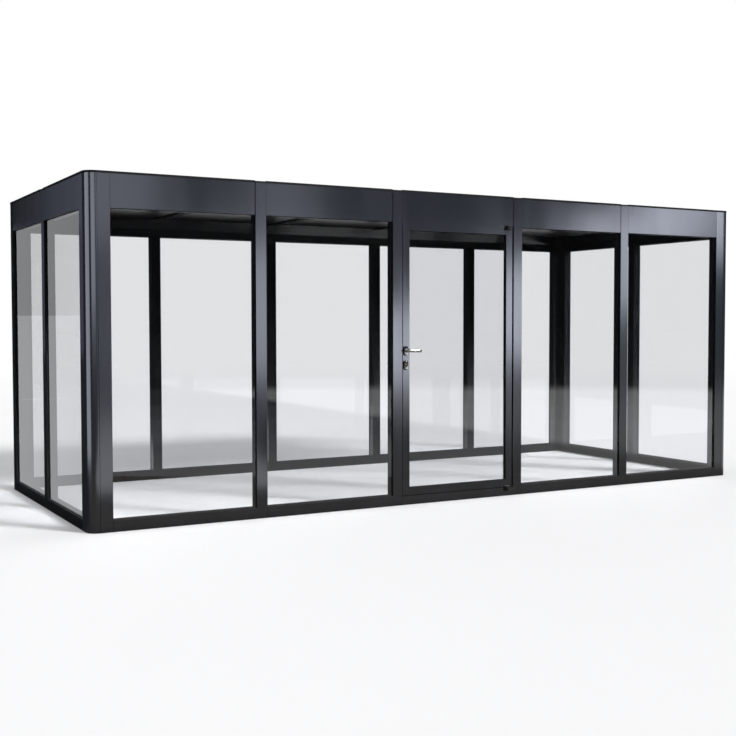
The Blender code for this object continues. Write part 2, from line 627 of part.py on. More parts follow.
def build_roof_deck(wall):
    """Cover the frame with a deck: a rim on three sides and trays that fall to the rear edge."""
    radius = NOSE_RADIUS + DECK_OVERHANG
    corners = ((LENGTH - NOSE_RADIUS, NOSE_RADIUS, -90), (LENGTH - NOSE_RADIUS, DEPTH - NOSE_RADIUS, 0))
    corners += ((NOSE_RADIUS, DEPTH - NOSE_RADIUS, 90), (NOSE_RADIUS, NOSE_RADIUS, 180))
    outline = []
    for across, back, angle in corners:
        outline += arc((across, back), radius, angle, angle + 90, DECK_CORNER_STEPS)
    mesh = extrusion_mesh("roof_deck", [outline], (0, 0, DECK_BOTTOM), DECK_THICKNESS, UPRIGHT)
    deck = add_piece("roof_deck", mesh, wall, "roof_coat")
    edges = [-DECK_OVERHANG + DECK_RIM]
    for start in mullion_starts(LONG_WALL_BAYS, LONG_BAY):
        middle = start + MULLION_WIDTH / 2
        edges += [middle - DECK_SEAM_WIDTH / 2, middle + DECK_SEAM_WIDTH / 2]
    edges += [LENGTH + DECK_OVERHANG - DECK_RIM]
    front = -DECK_OVERHANG + DECK_RIM
    floor = HEIGHT - DECK_TRAY_DROP
    boxes = []
    for left, right in zip(edges[0::2], edges[1::2]):
        boxes.append(((left, front, floor), (right, 2 * DEPTH, HEIGHT + DECK_THICKNESS)))
    trays = box_mesh("trays", boxes)
    fall = Matrix.Translation((0, front, floor)) @ Matrix.Rotation(-DECK_FALL, 4, "X")
    trays.transform(fall @ Matrix.Translation((0, -front, -floor)))
    shape_with(deck, add_cutter("roof_trays", trays, wall))
    shape_with(deck, add_cutter("ceiling_pans", ceiling_mesh(), wall), "UNION")
    return deck


def stile_loops(glass_on_right):
    """Outline a door stile from its free edge, grooved for the glass on the other side."""
    groove = STILE_WIDTH - LEAF_GROOVE_DEPTH
    outline = [(EDGE_CHAMFER, 0), (STILE_WIDTH, 0), (STILE_WIDTH, GROOVE_FRONT), (groove, GROOVE_FRONT)]
    outline += [(groove, GROOVE_BACK), (STILE_WIDTH, GROOVE_BACK), (STILE_WIDTH, LEAF_DEPTH)]
    outline += [(0, LEAF_DEPTH), (0, EDGE_CHAMFER)]
    hollow = rectangle(LEAF_WALL, LEAF_WALL, groove - LEAF_WALL, LEAF_DEPTH - LEAF_WALL)
    loops = [outline, hollow]
    if not glass_on_right:
        loops = [[(STILE_WIDTH - across, deep) for across, deep in reversed(loop)] for loop in loops]
    return loops


def leaf_rail_loops(height, groove_depth, glass_above):
    """Outline a door rail as depth and height, grooved for the glass above or below it."""
    groove = height - groove_depth
    outline = [(0, 0), (LEAF_DEPTH, 0), (LEAF_DEPTH, height), (GROOVE_BACK, height), (GROOVE_BACK, groove)]
    outline += [(GROOVE_FRONT, groove), (GROOVE_FRONT, height), (0, height)]
    hollow = rectangle(LEAF_WALL, LEAF_WALL, LEAF_DEPTH - LEAF_WALL, groove - LEAF_WALL)
    loops = [outline, hollow]
    if not glass_above:
        loops = [[(deep, height - up) for deep, up in reversed(loop)] for loop in loops]
    return loops


def build_leaf(leaf):
    """Build the door leaf's stiles, rails and glass."""
    height = LEAF_TOP - LEAF_BOTTOM
    lock_start = (LEAF_LEFT, 0, LEAF_BOTTOM)
    hinge_start = (LEAF_RIGHT - STILE_WIDTH, 0, LEAF_BOTTOM)
    lock_mesh = extrusion_mesh("stile", stile_loops(True), lock_start, height, UPRIGHT)
    hinge_mesh = extrusion_mesh("stile", stile_loops(False), hinge_start, height, UPRIGHT)
    lock_stile = add_piece("door_lock_stile", lock_mesh, leaf, "powder_coat")
    hinge_stile = add_piece("door_hinge_stile", hinge_mesh, leaf, "powder_coat")
    rail_start = LEAF_LEFT + STILE_WIDTH + SEAT_GAP
    rail_run = LEAF_RIGHT - LEAF_LEFT - 2 * (STILE_WIDTH + SEAT_GAP)
    top_start = (rail_start, 0, LEAF_TOP - TOP_RAIL_HEIGHT)
    top_loops = leaf_rail_loops(TOP_RAIL_HEIGHT, LEAF_GROOVE_DEPTH, glass_above=False)
    foot_loops = leaf_rail_loops(BOTTOM_RAIL_HEIGHT, LEAF_GLASS_BITE + SEAT_GAP, glass_above=True)
    top_mesh = extrusion_mesh("top_rail", top_loops, top_start, rail_run, ALONG_WALL)
    foot_start = (rail_start, 0, LEAF_BOTTOM)
    foot_mesh = extrusion_mesh("bottom_rail", foot_loops, foot_start, rail_run, ALONG_WALL)
    top_rail = add_piece("door_top_rail", top_mesh, leaf, "powder_coat")
    bottom_rail = add_piece("door_bottom_rail", foot_mesh, leaf, "powder_coat")
    glass_left = LEAF_LEFT + STILE_WIDTH - LEAF_GLASS_BITE
    glass_right = LEAF_RIGHT - STILE_WIDTH + LEAF_GLASS_BITE
    glass_low = LEAF_BOTTOM + BOTTOM_RAIL_HEIGHT - LEAF_GLASS_BITE
    glass_high = LEAF_TOP - TOP_RAIL_HEIGHT + LEAF_GLASS_BITE
    low = (glass_left, GLASS_SETBACK, glass_low)
    high = (glass_right, GLASS_SETBACK + GLASS_THICKNESS, glass_high)
    add_piece("door_glass", box_mesh("door_glass", [(low, high)]), leaf, "glass")
    return lock_stile, hinge_stile, top_rail, bottom_rail


def barrel_profile(low, high, bore_bottom=None, pin_end=None):
    """Give a pivot part's profile: a chamfered barrel with a bore from its top, or with a pin."""
    rim = PIVOT_RADIUS - PIVOT_CHAMFER
    if bore_bottom is not None:
        bore = PIVOT_PIN_RADIUS + RUNNING_GAP
        profile = [(0, bore_bottom), (bore, bore_bottom), (bore, high), (PIVOT_RADIUS, high)]
        return profile + [(PIVOT_RADIUS, low + PIVOT_CHAMFER), (rim, low), (0, low)]
    if pin_end > high:
        profile = [(0, pin_end), (PIVOT_PIN_RADIUS, pin_end), (PIVOT_PIN_RADIUS, high)]
        return profile + [(PIVOT_RADIUS, high), (PIVOT_RADIUS, low + PIVOT_CHAMFER), (rim, low), (0, low)]
    profile = [(0, high), (rim, high), (PIVOT_RADIUS, high - PIVOT_CHAMFER), (PIVOT_RADIUS, low)]
    return profile + [(PIVOT_PIN_RADIUS, low), (PIVOT_PIN_RADIUS, pin_end), (0, pin_end)]


def pivot_pocket(name, low, high, parent):
    """Add the round pocket that a pivot part sits in."""
    centre = (PIVOT_S, PIVOT_D, (low + high) / 2)
    mesh = round_mesh("pocket", PIVOT_RADIUS + PIVOT_POCKET_EASE, centre, (high - low) / 2)
    return add_cutter(name, mesh, parent)


def build_pivots(wall, leaf, header, sill, leaf_frame):
    """Build the door's top and foot pivots, each a fixed part with a pin and a part on the leaf."""
    centre = (PIVOT_S, PIVOT_D, 0)
    head_joint = LEAF_TOP + HEAD_GAP / 2
    barrel_low = head_joint - PIVOT_BARREL_HEIGHT
    cap_high = head_joint + PIVOT_CAP_HEIGHT
    pin_end = head_joint - TOP_PIN_LENGTH
    fixed = barrel_profile(head_joint + SEAT_GAP / 2, cap_high, pin_end=pin_end)
    turned_piece("top_pivot_fixed", fixed, wall, "black_pivot", centre)
    moving = barrel_profile(barrel_low, head_joint - SEAT_GAP / 2, bore_bottom=pin_end - SEAT_GAP)
    turned_piece("top_pivot_leaf", moving, leaf, "black_pivot", centre)
    foot_joint = LEAF_BOTTOM - FOOT_GAP / 2
    foot_low = foot_joint - PIVOT_BARREL_HEIGHT
    foot_high = foot_joint + PIVOT_CAP_HEIGHT
    foot_pin = foot_joint + FOOT_PIN_LENGTH
    fixed = barrel_profile(foot_low, foot_joint - SEAT_GAP / 2, pin_end=foot_pin)
    turned_piece("foot_pivot_fixed", fixed, wall, "black_pivot", centre)
    bore = PIVOT_PIN_RADIUS + RUNNING_GAP
    low, roof = foot_joint + SEAT_GAP / 2, foot_pin + SEAT_GAP
    moving = [(0, foot_high), (PIVOT_RADIUS - PIVOT_CHAMFER, foot_high)]
    moving += [(PIVOT_RADIUS, foot_high - PIVOT_CHAMFER), (PIVOT_RADIUS, low), (bore, low)]
    turned_piece("foot_pivot_leaf", moving + [(bore, roof), (0, roof)], leaf, "black_pivot", centre)
    shape_with(header, pivot_pocket("head_pocket", LEAF_TOP, cap_high + SEAT_GAP, wall))
    shape_with(sill, pivot_pocket("threshold_pocket", foot_low - SEAT_GAP, LEAF_BOTTOM, wall))
    top_pocket = pivot_pocket("leaf_top_pocket", barrel_low - SEAT_GAP, LEAF_TOP + HEAD_GAP, leaf)
    foot_pocket = pivot_pocket("leaf_foot_pocket", LEAF_BOTTOM - FOOT_GAP, foot_high + SEAT_GAP, leaf)
    hinge_stile, top_rail, bottom_rail = leaf_frame
    for member, pocket in ((hinge_stile, top_pocket), (top_rail, top_pocket)):
        shape_with(member, pocket)
    for member, pocket in ((hinge_stile, foot_pocket), (bottom_rail, foot_pocket)):
        shape_with(member, pocket)


def plate_outline(width, height, centre_z):
    """Outline a plate with round ends, as along-wall place and height."""
    radius = width / 2
    straight = height / 2 - radius
    points = arc((HANDLE_S, centre_z + straight), radius, 0, 180, PLATE_STEPS)
    return points + arc((HANDLE_S, centre_z - straight), radius, 180, 360, PLATE_STEPS)


def cylinder_outline(ease):
    """Outline the profile cylinder: a round top over a narrow fin with a round foot."""
    radius = CYLINDER_RADIUS + ease
    half_fin = CYLINDER_FIN_WIDTH / 2 + ease
    open_degrees = math.degrees(math.asin(half_fin / radius))
    points = arc((HANDLE_S, CYLINDER_HEIGHT), radius, -90 + open_degrees, 270 - open_degrees, 22)
    return points + arc((HANDLE_S, CYLINDER_HEIGHT - CYLINDER_FIN_DROP), half_fin, 180, 360, 8)


def build_plate(name, leaf, outline, outer_face):
    """Build a cover plate on one face of the lock stile, with softened edges."""
    thickness = PLATE_THICKNESS - SEAT_GAP
    back = -SEAT_GAP if outer_face else LEAF_DEPTH + PLATE_THICKNESS
    mesh = extrusion_mesh(name, [outline], (0, back, 0), thickness, THROUGH_WALL)
    plate = add_piece(name, mesh, leaf, "satin_chrome", smooth_degrees=35)
    bevel = plate.modifiers.new("Soft edge", "BEVEL")
    bevel.width = PLATE_ROUNDING
    bevel.segments = 3
    bevel.limit_method = "ANGLE"
    bevel.angle_limit = math.radians(60)
    return plate


def lever_stations():
    """Give the lever's centre line and half sizes: along, out, turn, half width, half height."""
    root = SEAT_GAP
    collar_end = PLATE_THICKNESS + COLLAR_PROUD
    straight_end = LEVER_REACH - ELBOW_RADIUS
    stations = [(0, root, 0, COLLAR_RADIUS, COLLAR_RADIUS)]
    stations += [(0, collar_end, 0, COLLAR_RADIUS, COLLAR_RADIUS)]
    stations += [(0, collar_end + COLLAR_TAPER, 0, NECK_RADIUS, NECK_RADIUS)]
    for step in range(ELBOW_STEPS + 1):
        share = step / ELBOW_STEPS
        turn = share * math.pi / 2
        along = ELBOW_RADIUS * (1 - math.cos(turn))
        out = straight_end + ELBOW_RADIUS * math.sin(turn)
        half_width = NECK_RADIUS + (GRIP_HALF_THICKNESS - NECK_RADIUS) * share
        half_height = NECK_RADIUS + (GRIP_HALF_HEIGHT - NECK_RADIUS) * share
        stations.append((along, out, turn, half_width, half_height))
    for step in range(4):
        angle = step / 4 * math.pi / 2
        along = LEVER_LENGTH - TIP_ROUNDING + TIP_ROUNDING * math.sin(angle)
        shrink = 0.35 + 0.65 * math.cos(angle)
        half_width, half_height = GRIP_HALF_THICKNESS * shrink, GRIP_HALF_HEIGHT * shrink
        stations.append((along, LEVER_REACH, math.pi / 2, half_width, half_height))
    return stations


def lever_mesh(name, face, outward):
    """Loft a lever from a round neck to a flat oval grip, standing out from a face of the leaf."""
    shape = bmesh.new()
    rings = []
    for along, out, turn, half_width, half_height in lever_stations():
        ring = []
        for point in range(LEVER_RING_POINTS):
            angle = 2 * math.pi * point / LEVER_RING_POINTS
            side = half_width * math.cos(angle)
            place_s = HANDLE_S + along + side * math.cos(turn)
            place_d = face + outward * (out - side * math.sin(turn))
            ring.append(shape.verts.new((place_s, place_d, HANDLE_HEIGHT + half_height * math.sin(angle))))
        rings.append(ring)
    for near, far in zip(rings, rings[1:]):
        for point in range(LEVER_RING_POINTS):
            after = (point + 1) % LEVER_RING_POINTS
            shape.faces.new((near[point], near[after], far[after], far[point]))
    shape.faces.new(rings[0])
    shape.faces.new(rings[-1])
    bmesh.ops.recalc_face_normals(shape, faces=shape.faces)
    mesh = bpy.data.meshes.new(name)
    shape.to_mesh(mesh)
    shape.free()
    return mesh


def centred_box(half_s, low_d, high_d, half_z, centre_z):
    """Give a box about the handle's place along the wall."""
    low = (HANDLE_S - half_s, low_d, centre_z - half_z)
    return low, (HANDLE_S + half_s, high_d, centre_z + half_z)


def through_holes(name, loops, leaf):
    """Add holes of the given outlines right through the leaf and its plates."""
    reach = 2 * LEAF_DEPTH
    mesh = extrusion_mesh(name, loops, (0, LEAF_MIDDLE + reach, 0), 2 * reach, THROUGH_WALL)
    return add_cutter(name, mesh, leaf)


def build_handles(leaf, lever, bore):
    """Build both levers on their square spindle, and the rose that the outside one turns in."""
    rose = build_plate("outside_rose", leaf, plate_outline(PLATE_WIDTH, ROSE_HEIGHT, HANDLE_HEIGHT), True)
    shape_with(rose, bore)
    outside = add_piece(
        "outside_lever", lever_mesh("outside_lever", 0, -1), lever, "satin_chrome", smooth_degrees=50)
    half = SPINDLE_WIDTH / 2 + SOCKET_EASE
    socket_end = -SEAT_GAP - SOCKET_DEPTH
    socket = centred_box(half, socket_end, LEAF_MIDDLE, half, HANDLE_HEIGHT)
    shape_with(outside, add_cutter("lever_socket", box_mesh("socket", [socket]), lever))
    inside = add_piece(
        "inside_lever", lever_mesh("inside_lever", LEAF_DEPTH, 1), lever, "satin_chrome", smooth_degrees=50)
    half = SPINDLE_WIDTH / 2
    spindle_end = LEAF_DEPTH + PLATE_THICKNESS
    spindle = centred_box(half, socket_end + SEAT_GAP, spindle_end, half, HANDLE_HEIGHT)
    shape_with(inside, add_cutter("spindle", box_mesh("spindle", [spindle]), lever), "UNION")


def build_lock_plates(leaf, bore, cylinder_hole):
    """Build the outside escutcheon and the long inside backplate."""
    escutcheon_z = CYLINDER_HEIGHT - ESCUTCHEON_DROP
    outline = plate_outline(PLATE_WIDTH, ESCUTCHEON_HEIGHT, escutcheon_z)
    escutcheon = build_plate("outside_escutcheon", leaf, outline, True)
    shape_with(escutcheon, cylinder_hole)
    top = HANDLE_HEIGHT + ROSE_HEIGHT / 2
    bottom = escutcheon_z - ESCUTCHEON_HEIGHT / 2
    outline = plate_outline(PLATE_WIDTH, top - bottom, (top + bottom) / 2)
    backplate = build_plate("inside_backplate", leaf, outline, False)
    shape_with(backplate, bore)
    shape_with(backplate, cylinder_hole)


def build_cylinder(leaf, key_axis):
    """Build the profile cylinder's body and its turning plug with the cam."""
    front = -PLATE_THICKNESS - CYLINDER_PROUD
    back = LEAF_DEPTH + PLATE_THICKNESS + CYLINDER_PROUD
    mesh = extrusion_mesh("body", [cylinder_outline(0)], (0, back, 0), back - front, THROUGH_WALL)
    body = add_piece("cylinder_body", mesh, leaf, "satin_chrome", smooth_degrees=35)
    centre = (HANDLE_S, LEAF_MIDDLE, CYLINDER_HEIGHT)
    plug_bore = round_mesh("plug_bore", PLUG_RADIUS + RUNNING_GAP, centre, back - front, "D")
    shape_with(body, add_cutter("plug_bore", plug_bore, leaf))
    half_slot = CAM_WIDTH / 2 + CAM_CLEARANCE / 2
    slot_low = CYLINDER_HEIGHT - CAM_REACH - CAM_CLEARANCE
    low = (HANDLE_S - CAM_REACH, LEAF_MIDDLE - half_slot, slot_low)
    high = (HANDLE_S + CAM_REACH, LEAF_MIDDLE + half_slot, CYLINDER_HEIGHT + CAM_REACH)
    shape_with(body, add_cutter("cam_slot", box_mesh("cam_slot", [(low, high)]), leaf))
    plug = round_mesh("plug", PLUG_RADIUS, centre, (back - front) / 2 - SEAT_GAP, "D")
    plug = add_piece("cylinder_plug", plug, key_axis, "brass", smooth_degrees=35)
    hub = round_mesh("cam_hub", CAM_HUB_RADIUS, centre, CAM_WIDTH / 2, "D")
    shape_with(plug, add_cutter("cam_hub", hub, key_axis), "UNION")
    half = CAM_TOOTH_WIDTH / 2
    low = (HANDLE_S - half, LEAF_MIDDLE - CAM_WIDTH / 2, CYLINDER_HEIGHT - CAM_REACH)
    high = (HANDLE_S + half, LEAF_MIDDLE + CAM_WIDTH / 2, CYLINDER_HEIGHT)
    shape_with(plug, add_cutter("cam_tooth", box_mesh("cam_tooth", [(low, high)]), key_axis), "UNION")
    keyways = []
    for face in (front, back):
        low, high = face - KEYWAY_DEPTH, face + KEYWAY_DEPTH
        keyways.append(centred_box(KEYWAY_WIDTH / 2, low, high, KEYWAY_HEIGHT / 2, CYLINDER_HEIGHT))
    shape_with(plug, add_cutter("keyways", box_mesh("keyways", keyways), key_axis))


def bolt_hole(low_s, high_s, centre_z, height, ease):
    """Give the box of a hole that a bolt passes through."""
    half_d = BOLT_THICKNESS / 2 + ease
    half_z = height / 2 + ease
    low = (low_s, LEAF_MIDDLE - half_d, centre_z - half_z)
    return low, (high_s, LEAF_MIDDLE + half_d, centre_z + half_z)


def build_lock_case(leaf, lock_stile, lock_holes):
    """Build the lock case on its forend, and open the lock stile for it."""
    forend_z = (LATCH_Z + CYLINDER_HEIGHT) / 2
    forend_back = LEAF_LEFT + FOREND_THICKNESS
    half_d = FOREND_WIDTH / 2
    half_z = FOREND_HEIGHT / 2
    low = (LEAF_LEFT, LEAF_MIDDLE - half_d, forend_z - half_z)
    forend = box_mesh("forend", [(low, (forend_back, LEAF_MIDDLE + half_d, forend_z + half_z))])
    case = add_piece("lock_case", forend, leaf, "steel")
    case_bottom = CYLINDER_HEIGHT - CASE_BELOW_CYLINDER
    case_top = HANDLE_HEIGHT + CASE_TOP_ABOVE_HANDLE
    case_start = forend_back - CASE_WALL / 2
    case_end = forend_back + CASE_LENGTH
    half_case = CASE_THICKNESS / 2
    low = (case_start, LEAF_MIDDLE - half_case, case_bottom)
    high = (case_end, LEAF_MIDDLE + half_case, case_top)
    shape_with(case, add_cutter("case_block", box_mesh("case", [(low, high)]), leaf), "UNION")
    half_room = half_case - CASE_WALL
    low = (forend_back + CASE_WALL, LEAF_MIDDLE - half_room, case_bottom + CASE_WALL)
    high = (case_end - CASE_WALL, LEAF_MIDDLE + half_room, case_top - CASE_WALL)
    shape_with(case, add_cutter("case_room", box_mesh("case_room", [(low, high)]), leaf))
    start, end = LEAF_LEFT - LEAF_WALL, forend_back + 2 * CASE_WALL
    holes = [bolt_hole(start, end, LATCH_Z, LATCH_HEIGHT, SEAT_GAP)]
    holes += [bolt_hole(start, end, DEADBOLT_Z, DEADBOLT_HEIGHT, SEAT_GAP)]
    shape_with(case, add_cutter("bolt_holes", box_mesh("bolt_holes", holes), leaf))
    ease = SEAT_GAP
    low = (LEAF_LEFT - LEAF_WALL, LEAF_MIDDLE - half_d - ease, forend_z - half_z - ease)
    high = (forend_back + ease, LEAF_MIDDLE + half_d + ease, forend_z + half_z + ease)
    forend_slot = add_cutter("forend_slot", box_mesh("forend_slot", [(low, high)]), leaf)
    shape_with(lock_stile, forend_slot)
    for piece in (case, lock_stile):
        shape_with(piece, lock_holes)


def bolt_mesh(name, tip, centre_z, height, bevel):
    """Make a bolt with a narrow tail, its tip bevelled on the room side."""
    end = tip + BOLT_LENGTH
    front, back = LEAF_MIDDLE - BOLT_THICKNESS / 2, LEAF_MIDDLE + BOLT_THICKNESS / 2
    tail_front, tail_back = LEAF_MIDDLE - TAIL_WIDTH / 2, LEAF_MIDDLE + TAIL_WIDTH / 2
    outline = [(tip, front), (end, front), (end, tail_front), (end + TAIL_LENGTH, tail_front)]
    outline += [(end + TAIL_LENGTH, tail_back), (end, tail_back), (end, back)]
    outline += [(tip + bevel, back), (tip, LEAF_MIDDLE)]
    return extrusion_mesh(name, [outline], (0, 0, centre_z - height / 2), height, UPRIGHT)


def build_bolts(leaf):
    """Build the latch, which shows a little of its nose at rest, and the deadbolt, drawn in."""
    latch_tip = LEAF_LEFT - LATCH_PROJECTION
    latch = bolt_mesh("latch_bolt", latch_tip, LATCH_Z, LATCH_HEIGHT, LATCH_BEVEL)
    add_piece("latch_bolt", latch, leaf, "steel")
    deadbolt_tip = LEAF_LEFT + DEADBOLT_SET_BACK
    deadbolt = bolt_mesh("deadbolt", deadbolt_tip, DEADBOLT_Z, DEADBOLT_HEIGHT, EDGE_CHAMFER)
    add_piece("deadbolt", deadbolt, leaf, "steel")


def build_strike(wall, jamb):
    """Let the strike plate into the lock jamb, with holes for both bolts."""
    top = LATCH_Z + LATCH_HEIGHT / 2 + STRIKE_MARGIN
    bottom = DEADBOLT_Z - DEADBOLT_HEIGHT / 2 - STRIKE_MARGIN
    back = DOOR_LEFT - STRIKE_THICKNESS
    half = STRIKE_WIDTH / 2
    low = (back, LEAF_MIDDLE - half, bottom)
    plate = box_mesh("strike_plate", [(low, (DOOR_LEFT, LEAF_MIDDLE + half, top))])
    strike = add_piece("strike_plate", plate, wall, "steel")
    ease = SEAT_GAP
    low = (back - ease, LEAF_MIDDLE - half - ease, bottom - ease)
    high = (DOOR_LEFT + STRIKE_THICKNESS, LEAF_MIDDLE + half + ease, top + ease)
    shape_with(jamb, add_cutter("strike_recess", box_mesh("strike_recess", [(low, high)]), wall))
    start, end = DOOR_LEFT - 2 * JAMB_WALL, DOOR_LEFT + STRIKE_THICKNESS
    holes = [bolt_hole(start, end, LATCH_Z, LATCH_HEIGHT, STRIKE_HOLE_EASE)]
    holes += [bolt_hole(start, end, DEADBOLT_Z, DEADBOLT_HEIGHT, STRIKE_HOLE_EASE)]
    holes = add_cutter("strike_holes", box_mesh("strike_holes", holes), wall)
    shape_with(strike, holes)
    shape_with(jamb, holes)


clear_scene()
PARTS = make_collection("greenhouse")
CUTTERS = make_collection("greenhouse_cutters")
AXES = {
    "door_axis": Vector((PIVOT_S, PIVOT_D, 0)),
    "lever_axis": Vector((HANDLE_S, LEAF_MIDDLE, HANDLE_HEIGHT)),
    "key_axis": Vector((HANDLE_S, LEAF_MIDDLE, CYLINDER_HEIGHT)),
}
BASE = add_frame("greenhouse_base", None, 0, -PLAN_CENTRE)
WALLS = {
    "front": add_frame("front_wall", BASE, 0, (0, 0, 0)),
    "right": add_frame("right_wall", BASE, 90, (LENGTH, 0, 0)),
    "rear": add_frame("rear_wall", BASE, 180, (LENGTH, DEPTH, 0)),
    "left": add_frame("left_wall", BASE, 270, (0, DEPTH, 0)),
}
FRONT = WALLS["front"]
DOOR_AXIS = add_frame("door_axis", FRONT, 0, AXES["door_axis"])
LEVER_AXIS = add_frame("lever_axis", DOOR_AXIS, 0, AXES["lever_axis"] - AXES["door_axis"])
KEY_AXIS = add_frame("key_axis", DOOR_AXIS, 0, AXES["key_axis"] - AXES["door_axis"])

FRONT_SILL, FRONT_HEADER = build_wall("front", FRONT, LENGTH, LONG_WALL_BAYS, LONG_BAY, DOOR_BAY)
build_wall("rear", WALLS["rear"], LENGTH, LONG_WALL_BAYS, LONG_BAY)
build_wall("left", WALLS["left"], DEPTH, SHORT_WALL_BAYS, SHORT_BAY)
build_wall("right", WALLS["right"], DEPTH, SHORT_WALL_BAYS, SHORT_BAY)
open_doorway(FRONT_SILL, FRONT_HEADER, FRONT)
build_posts(WALLS)
build_rafters(FRONT)
ROOF_DECK = build_roof_deck(FRONT)
part_deck_edge(ROOF_DECK, "front", FRONT, mullion_starts(LONG_WALL_BAYS, LONG_BAY))
part_deck_edge(ROOF_DECK, "left", WALLS["left"], mullion_starts(SHORT_WALL_BAYS, SHORT_BAY))
part_deck_edge(ROOF_DECK, "right", WALLS["right"], mullion_starts(SHORT_WALL_BAYS, SHORT_BAY))
LOCK_STILE, HINGE_STILE, TOP_RAIL, BOTTOM_RAIL = build_leaf(DOOR_AXIS)
build_pivots(FRONT, DOOR_AXIS, FRONT_HEADER, FRONT_SILL, (HINGE_STILE, TOP_RAIL, BOTTOM_RAIL))
HANDLE_CENTRE = (HANDLE_S, HANDLE_HEIGHT)
LEVER_BORE = through_holes("lever_bore", [circle(HANDLE_CENTRE, COLLAR_RADIUS + RUNNING_GAP)], DOOR_AXIS)
CYLINDER_FIT = cylinder_outline(SEAT_GAP)
CYLINDER_HOLE = through_holes("cylinder_hole", [CYLINDER_FIT], DOOR_AXIS)
SPINDLE_FIT = circle(HANDLE_CENTRE, SPINDLE_HOLE_RADIUS)
LOCK_HOLES = through_holes("lock_holes", [CYLINDER_FIT, SPINDLE_FIT], DOOR_AXIS)
build_handles(DOOR_AXIS, LEVER_AXIS, LEVER_BORE)
build_lock_plates(DOOR_AXIS, LEVER_BORE, CYLINDER_HOLE)
build_cylinder(DOOR_AXIS, KEY_AXIS)
build_lock_case(DOOR_AXIS, LOCK_STILE, LOCK_HOLES)
build_bolts(DOOR_AXIS)
build_strike(FRONT, bpy.data.objects[f"front_mullion_{DOOR_BAY}"])
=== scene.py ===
"""Looks of the glazed greenhouse: its finishes, seals and fixings, and the studio round it.

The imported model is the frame. Every length is in metres and every piece is placed in the model's
own coordinates: +X along the door side, +Y from the door side to the rear, +Z up.
"""
from __future__ import annotations

import logging
import math
from dataclasses import dataclass, field
from enum import Enum

import bmesh
import bpy
import numpy as np
from mathutils import Matrix, Vector


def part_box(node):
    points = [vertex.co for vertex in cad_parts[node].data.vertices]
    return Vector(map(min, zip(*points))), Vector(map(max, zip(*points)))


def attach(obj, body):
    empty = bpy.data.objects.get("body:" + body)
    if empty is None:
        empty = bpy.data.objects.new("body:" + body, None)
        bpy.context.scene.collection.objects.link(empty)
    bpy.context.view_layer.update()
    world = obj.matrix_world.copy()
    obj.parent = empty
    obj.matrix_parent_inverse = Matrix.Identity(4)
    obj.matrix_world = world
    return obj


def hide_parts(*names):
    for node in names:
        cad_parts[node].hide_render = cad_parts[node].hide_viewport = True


LOG = logging.getLogger("greenhouse")
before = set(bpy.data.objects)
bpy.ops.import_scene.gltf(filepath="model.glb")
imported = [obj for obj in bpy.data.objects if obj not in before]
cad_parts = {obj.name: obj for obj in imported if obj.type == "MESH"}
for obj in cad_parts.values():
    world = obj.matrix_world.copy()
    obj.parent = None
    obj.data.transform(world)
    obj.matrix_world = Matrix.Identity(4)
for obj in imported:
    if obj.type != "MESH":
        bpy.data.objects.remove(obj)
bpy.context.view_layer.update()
BASE_BODY = "greenhouse"
LEAF_BODY = "door_leaf"
RAFTERS = 4
Faces = list[tuple[int, ...]]


# Surfaces worked out as arrays


def make_piece(
    name: str, points: np.ndarray, faces: Faces, smooth: bool = True
) -> bpy.types.Object:
    """Put points and faces into a mesh and link it as a piece at the origin.

    Args:
        name: The piece's name.
        points: Places of the vertices, one row each.
        faces: Vertex numbers of each face, anticlockwise from outside.
        smooth: Whether the faces shade as one curved surface.

    Returns:
        The new object.
    """
    mesh = bpy.data.meshes.new(name)
    mesh.from_pydata(points.reshape(-1, 3).tolist(), [], faces)
    mesh.validate()
    mesh.polygons.foreach_set("use_smooth", np.full(len(mesh.polygons), smooth))
    piece = bpy.data.objects.new(name, mesh)
    bpy.context.scene.collection.objects.link(piece)
    return piece


def grid_faces(rows: int, columns: int, start: int = 0, wrap_rows: bool = False) -> Faces:
    """Number the four corners of each cell of a grid whose columns close on themselves.

    Args:
        rows: Number of rings.
        columns: Number of points in a ring.
        start: Number of the grid's first vertex.
        wrap_rows: Whether the last ring joins the first.

    Returns:
        The grid's faces.
    """
    last = rows if wrap_rows else rows - 1
    row, column = np.meshgrid(np.arange(last), np.arange(columns), indexing="ij")
    after_row, after_column = (row + 1) % rows, (column + 1) % columns
    corners = (
        row * columns + column,
        row * columns + after_column,
        after_row * columns + after_column,
        after_row * columns + column,
    )
    return [tuple(cell) for cell in (start + np.stack(corners, -1).reshape(-1, 4)).tolist()]


def join_shells(shells: list[tuple[np.ndarray, Faces]]) -> tuple[np.ndarray, Faces]:
    """Stack separate shells into one list of points and faces.

    Args:
        shells: Points and faces of each shell.

    Returns:
        All points, and faces numbered to match.
    """
    points: list[np.ndarray] = []
    faces: Faces = []
    count = 0
    for shell_points, shell_faces in shells:
        flat = shell_points.reshape(-1, 3)
        points.append(flat)
        faces += [tuple(index + count for index in face) for face in shell_faces]
        count += len(flat)
    return np.concatenate(points), faces


def tube_shell(rings: np.ndarray) -> tuple[np.ndarray, Faces]:
    """Join rings into a closed shell with a flat cap at each end.

    Args:
        rings: Points as rings x points x 3, anticlockwise as seen from the last ring.

    Returns:
        Points and faces.
    """
    rows, columns = rings.shape[:2]
    faces = grid_faces(rows, columns)
    faces.append(tuple(range(columns - 1, -1, -1)))
    faces.append(tuple((rows - 1) * columns + index for index in range(columns)))
    return rings.reshape(-1, 3), faces


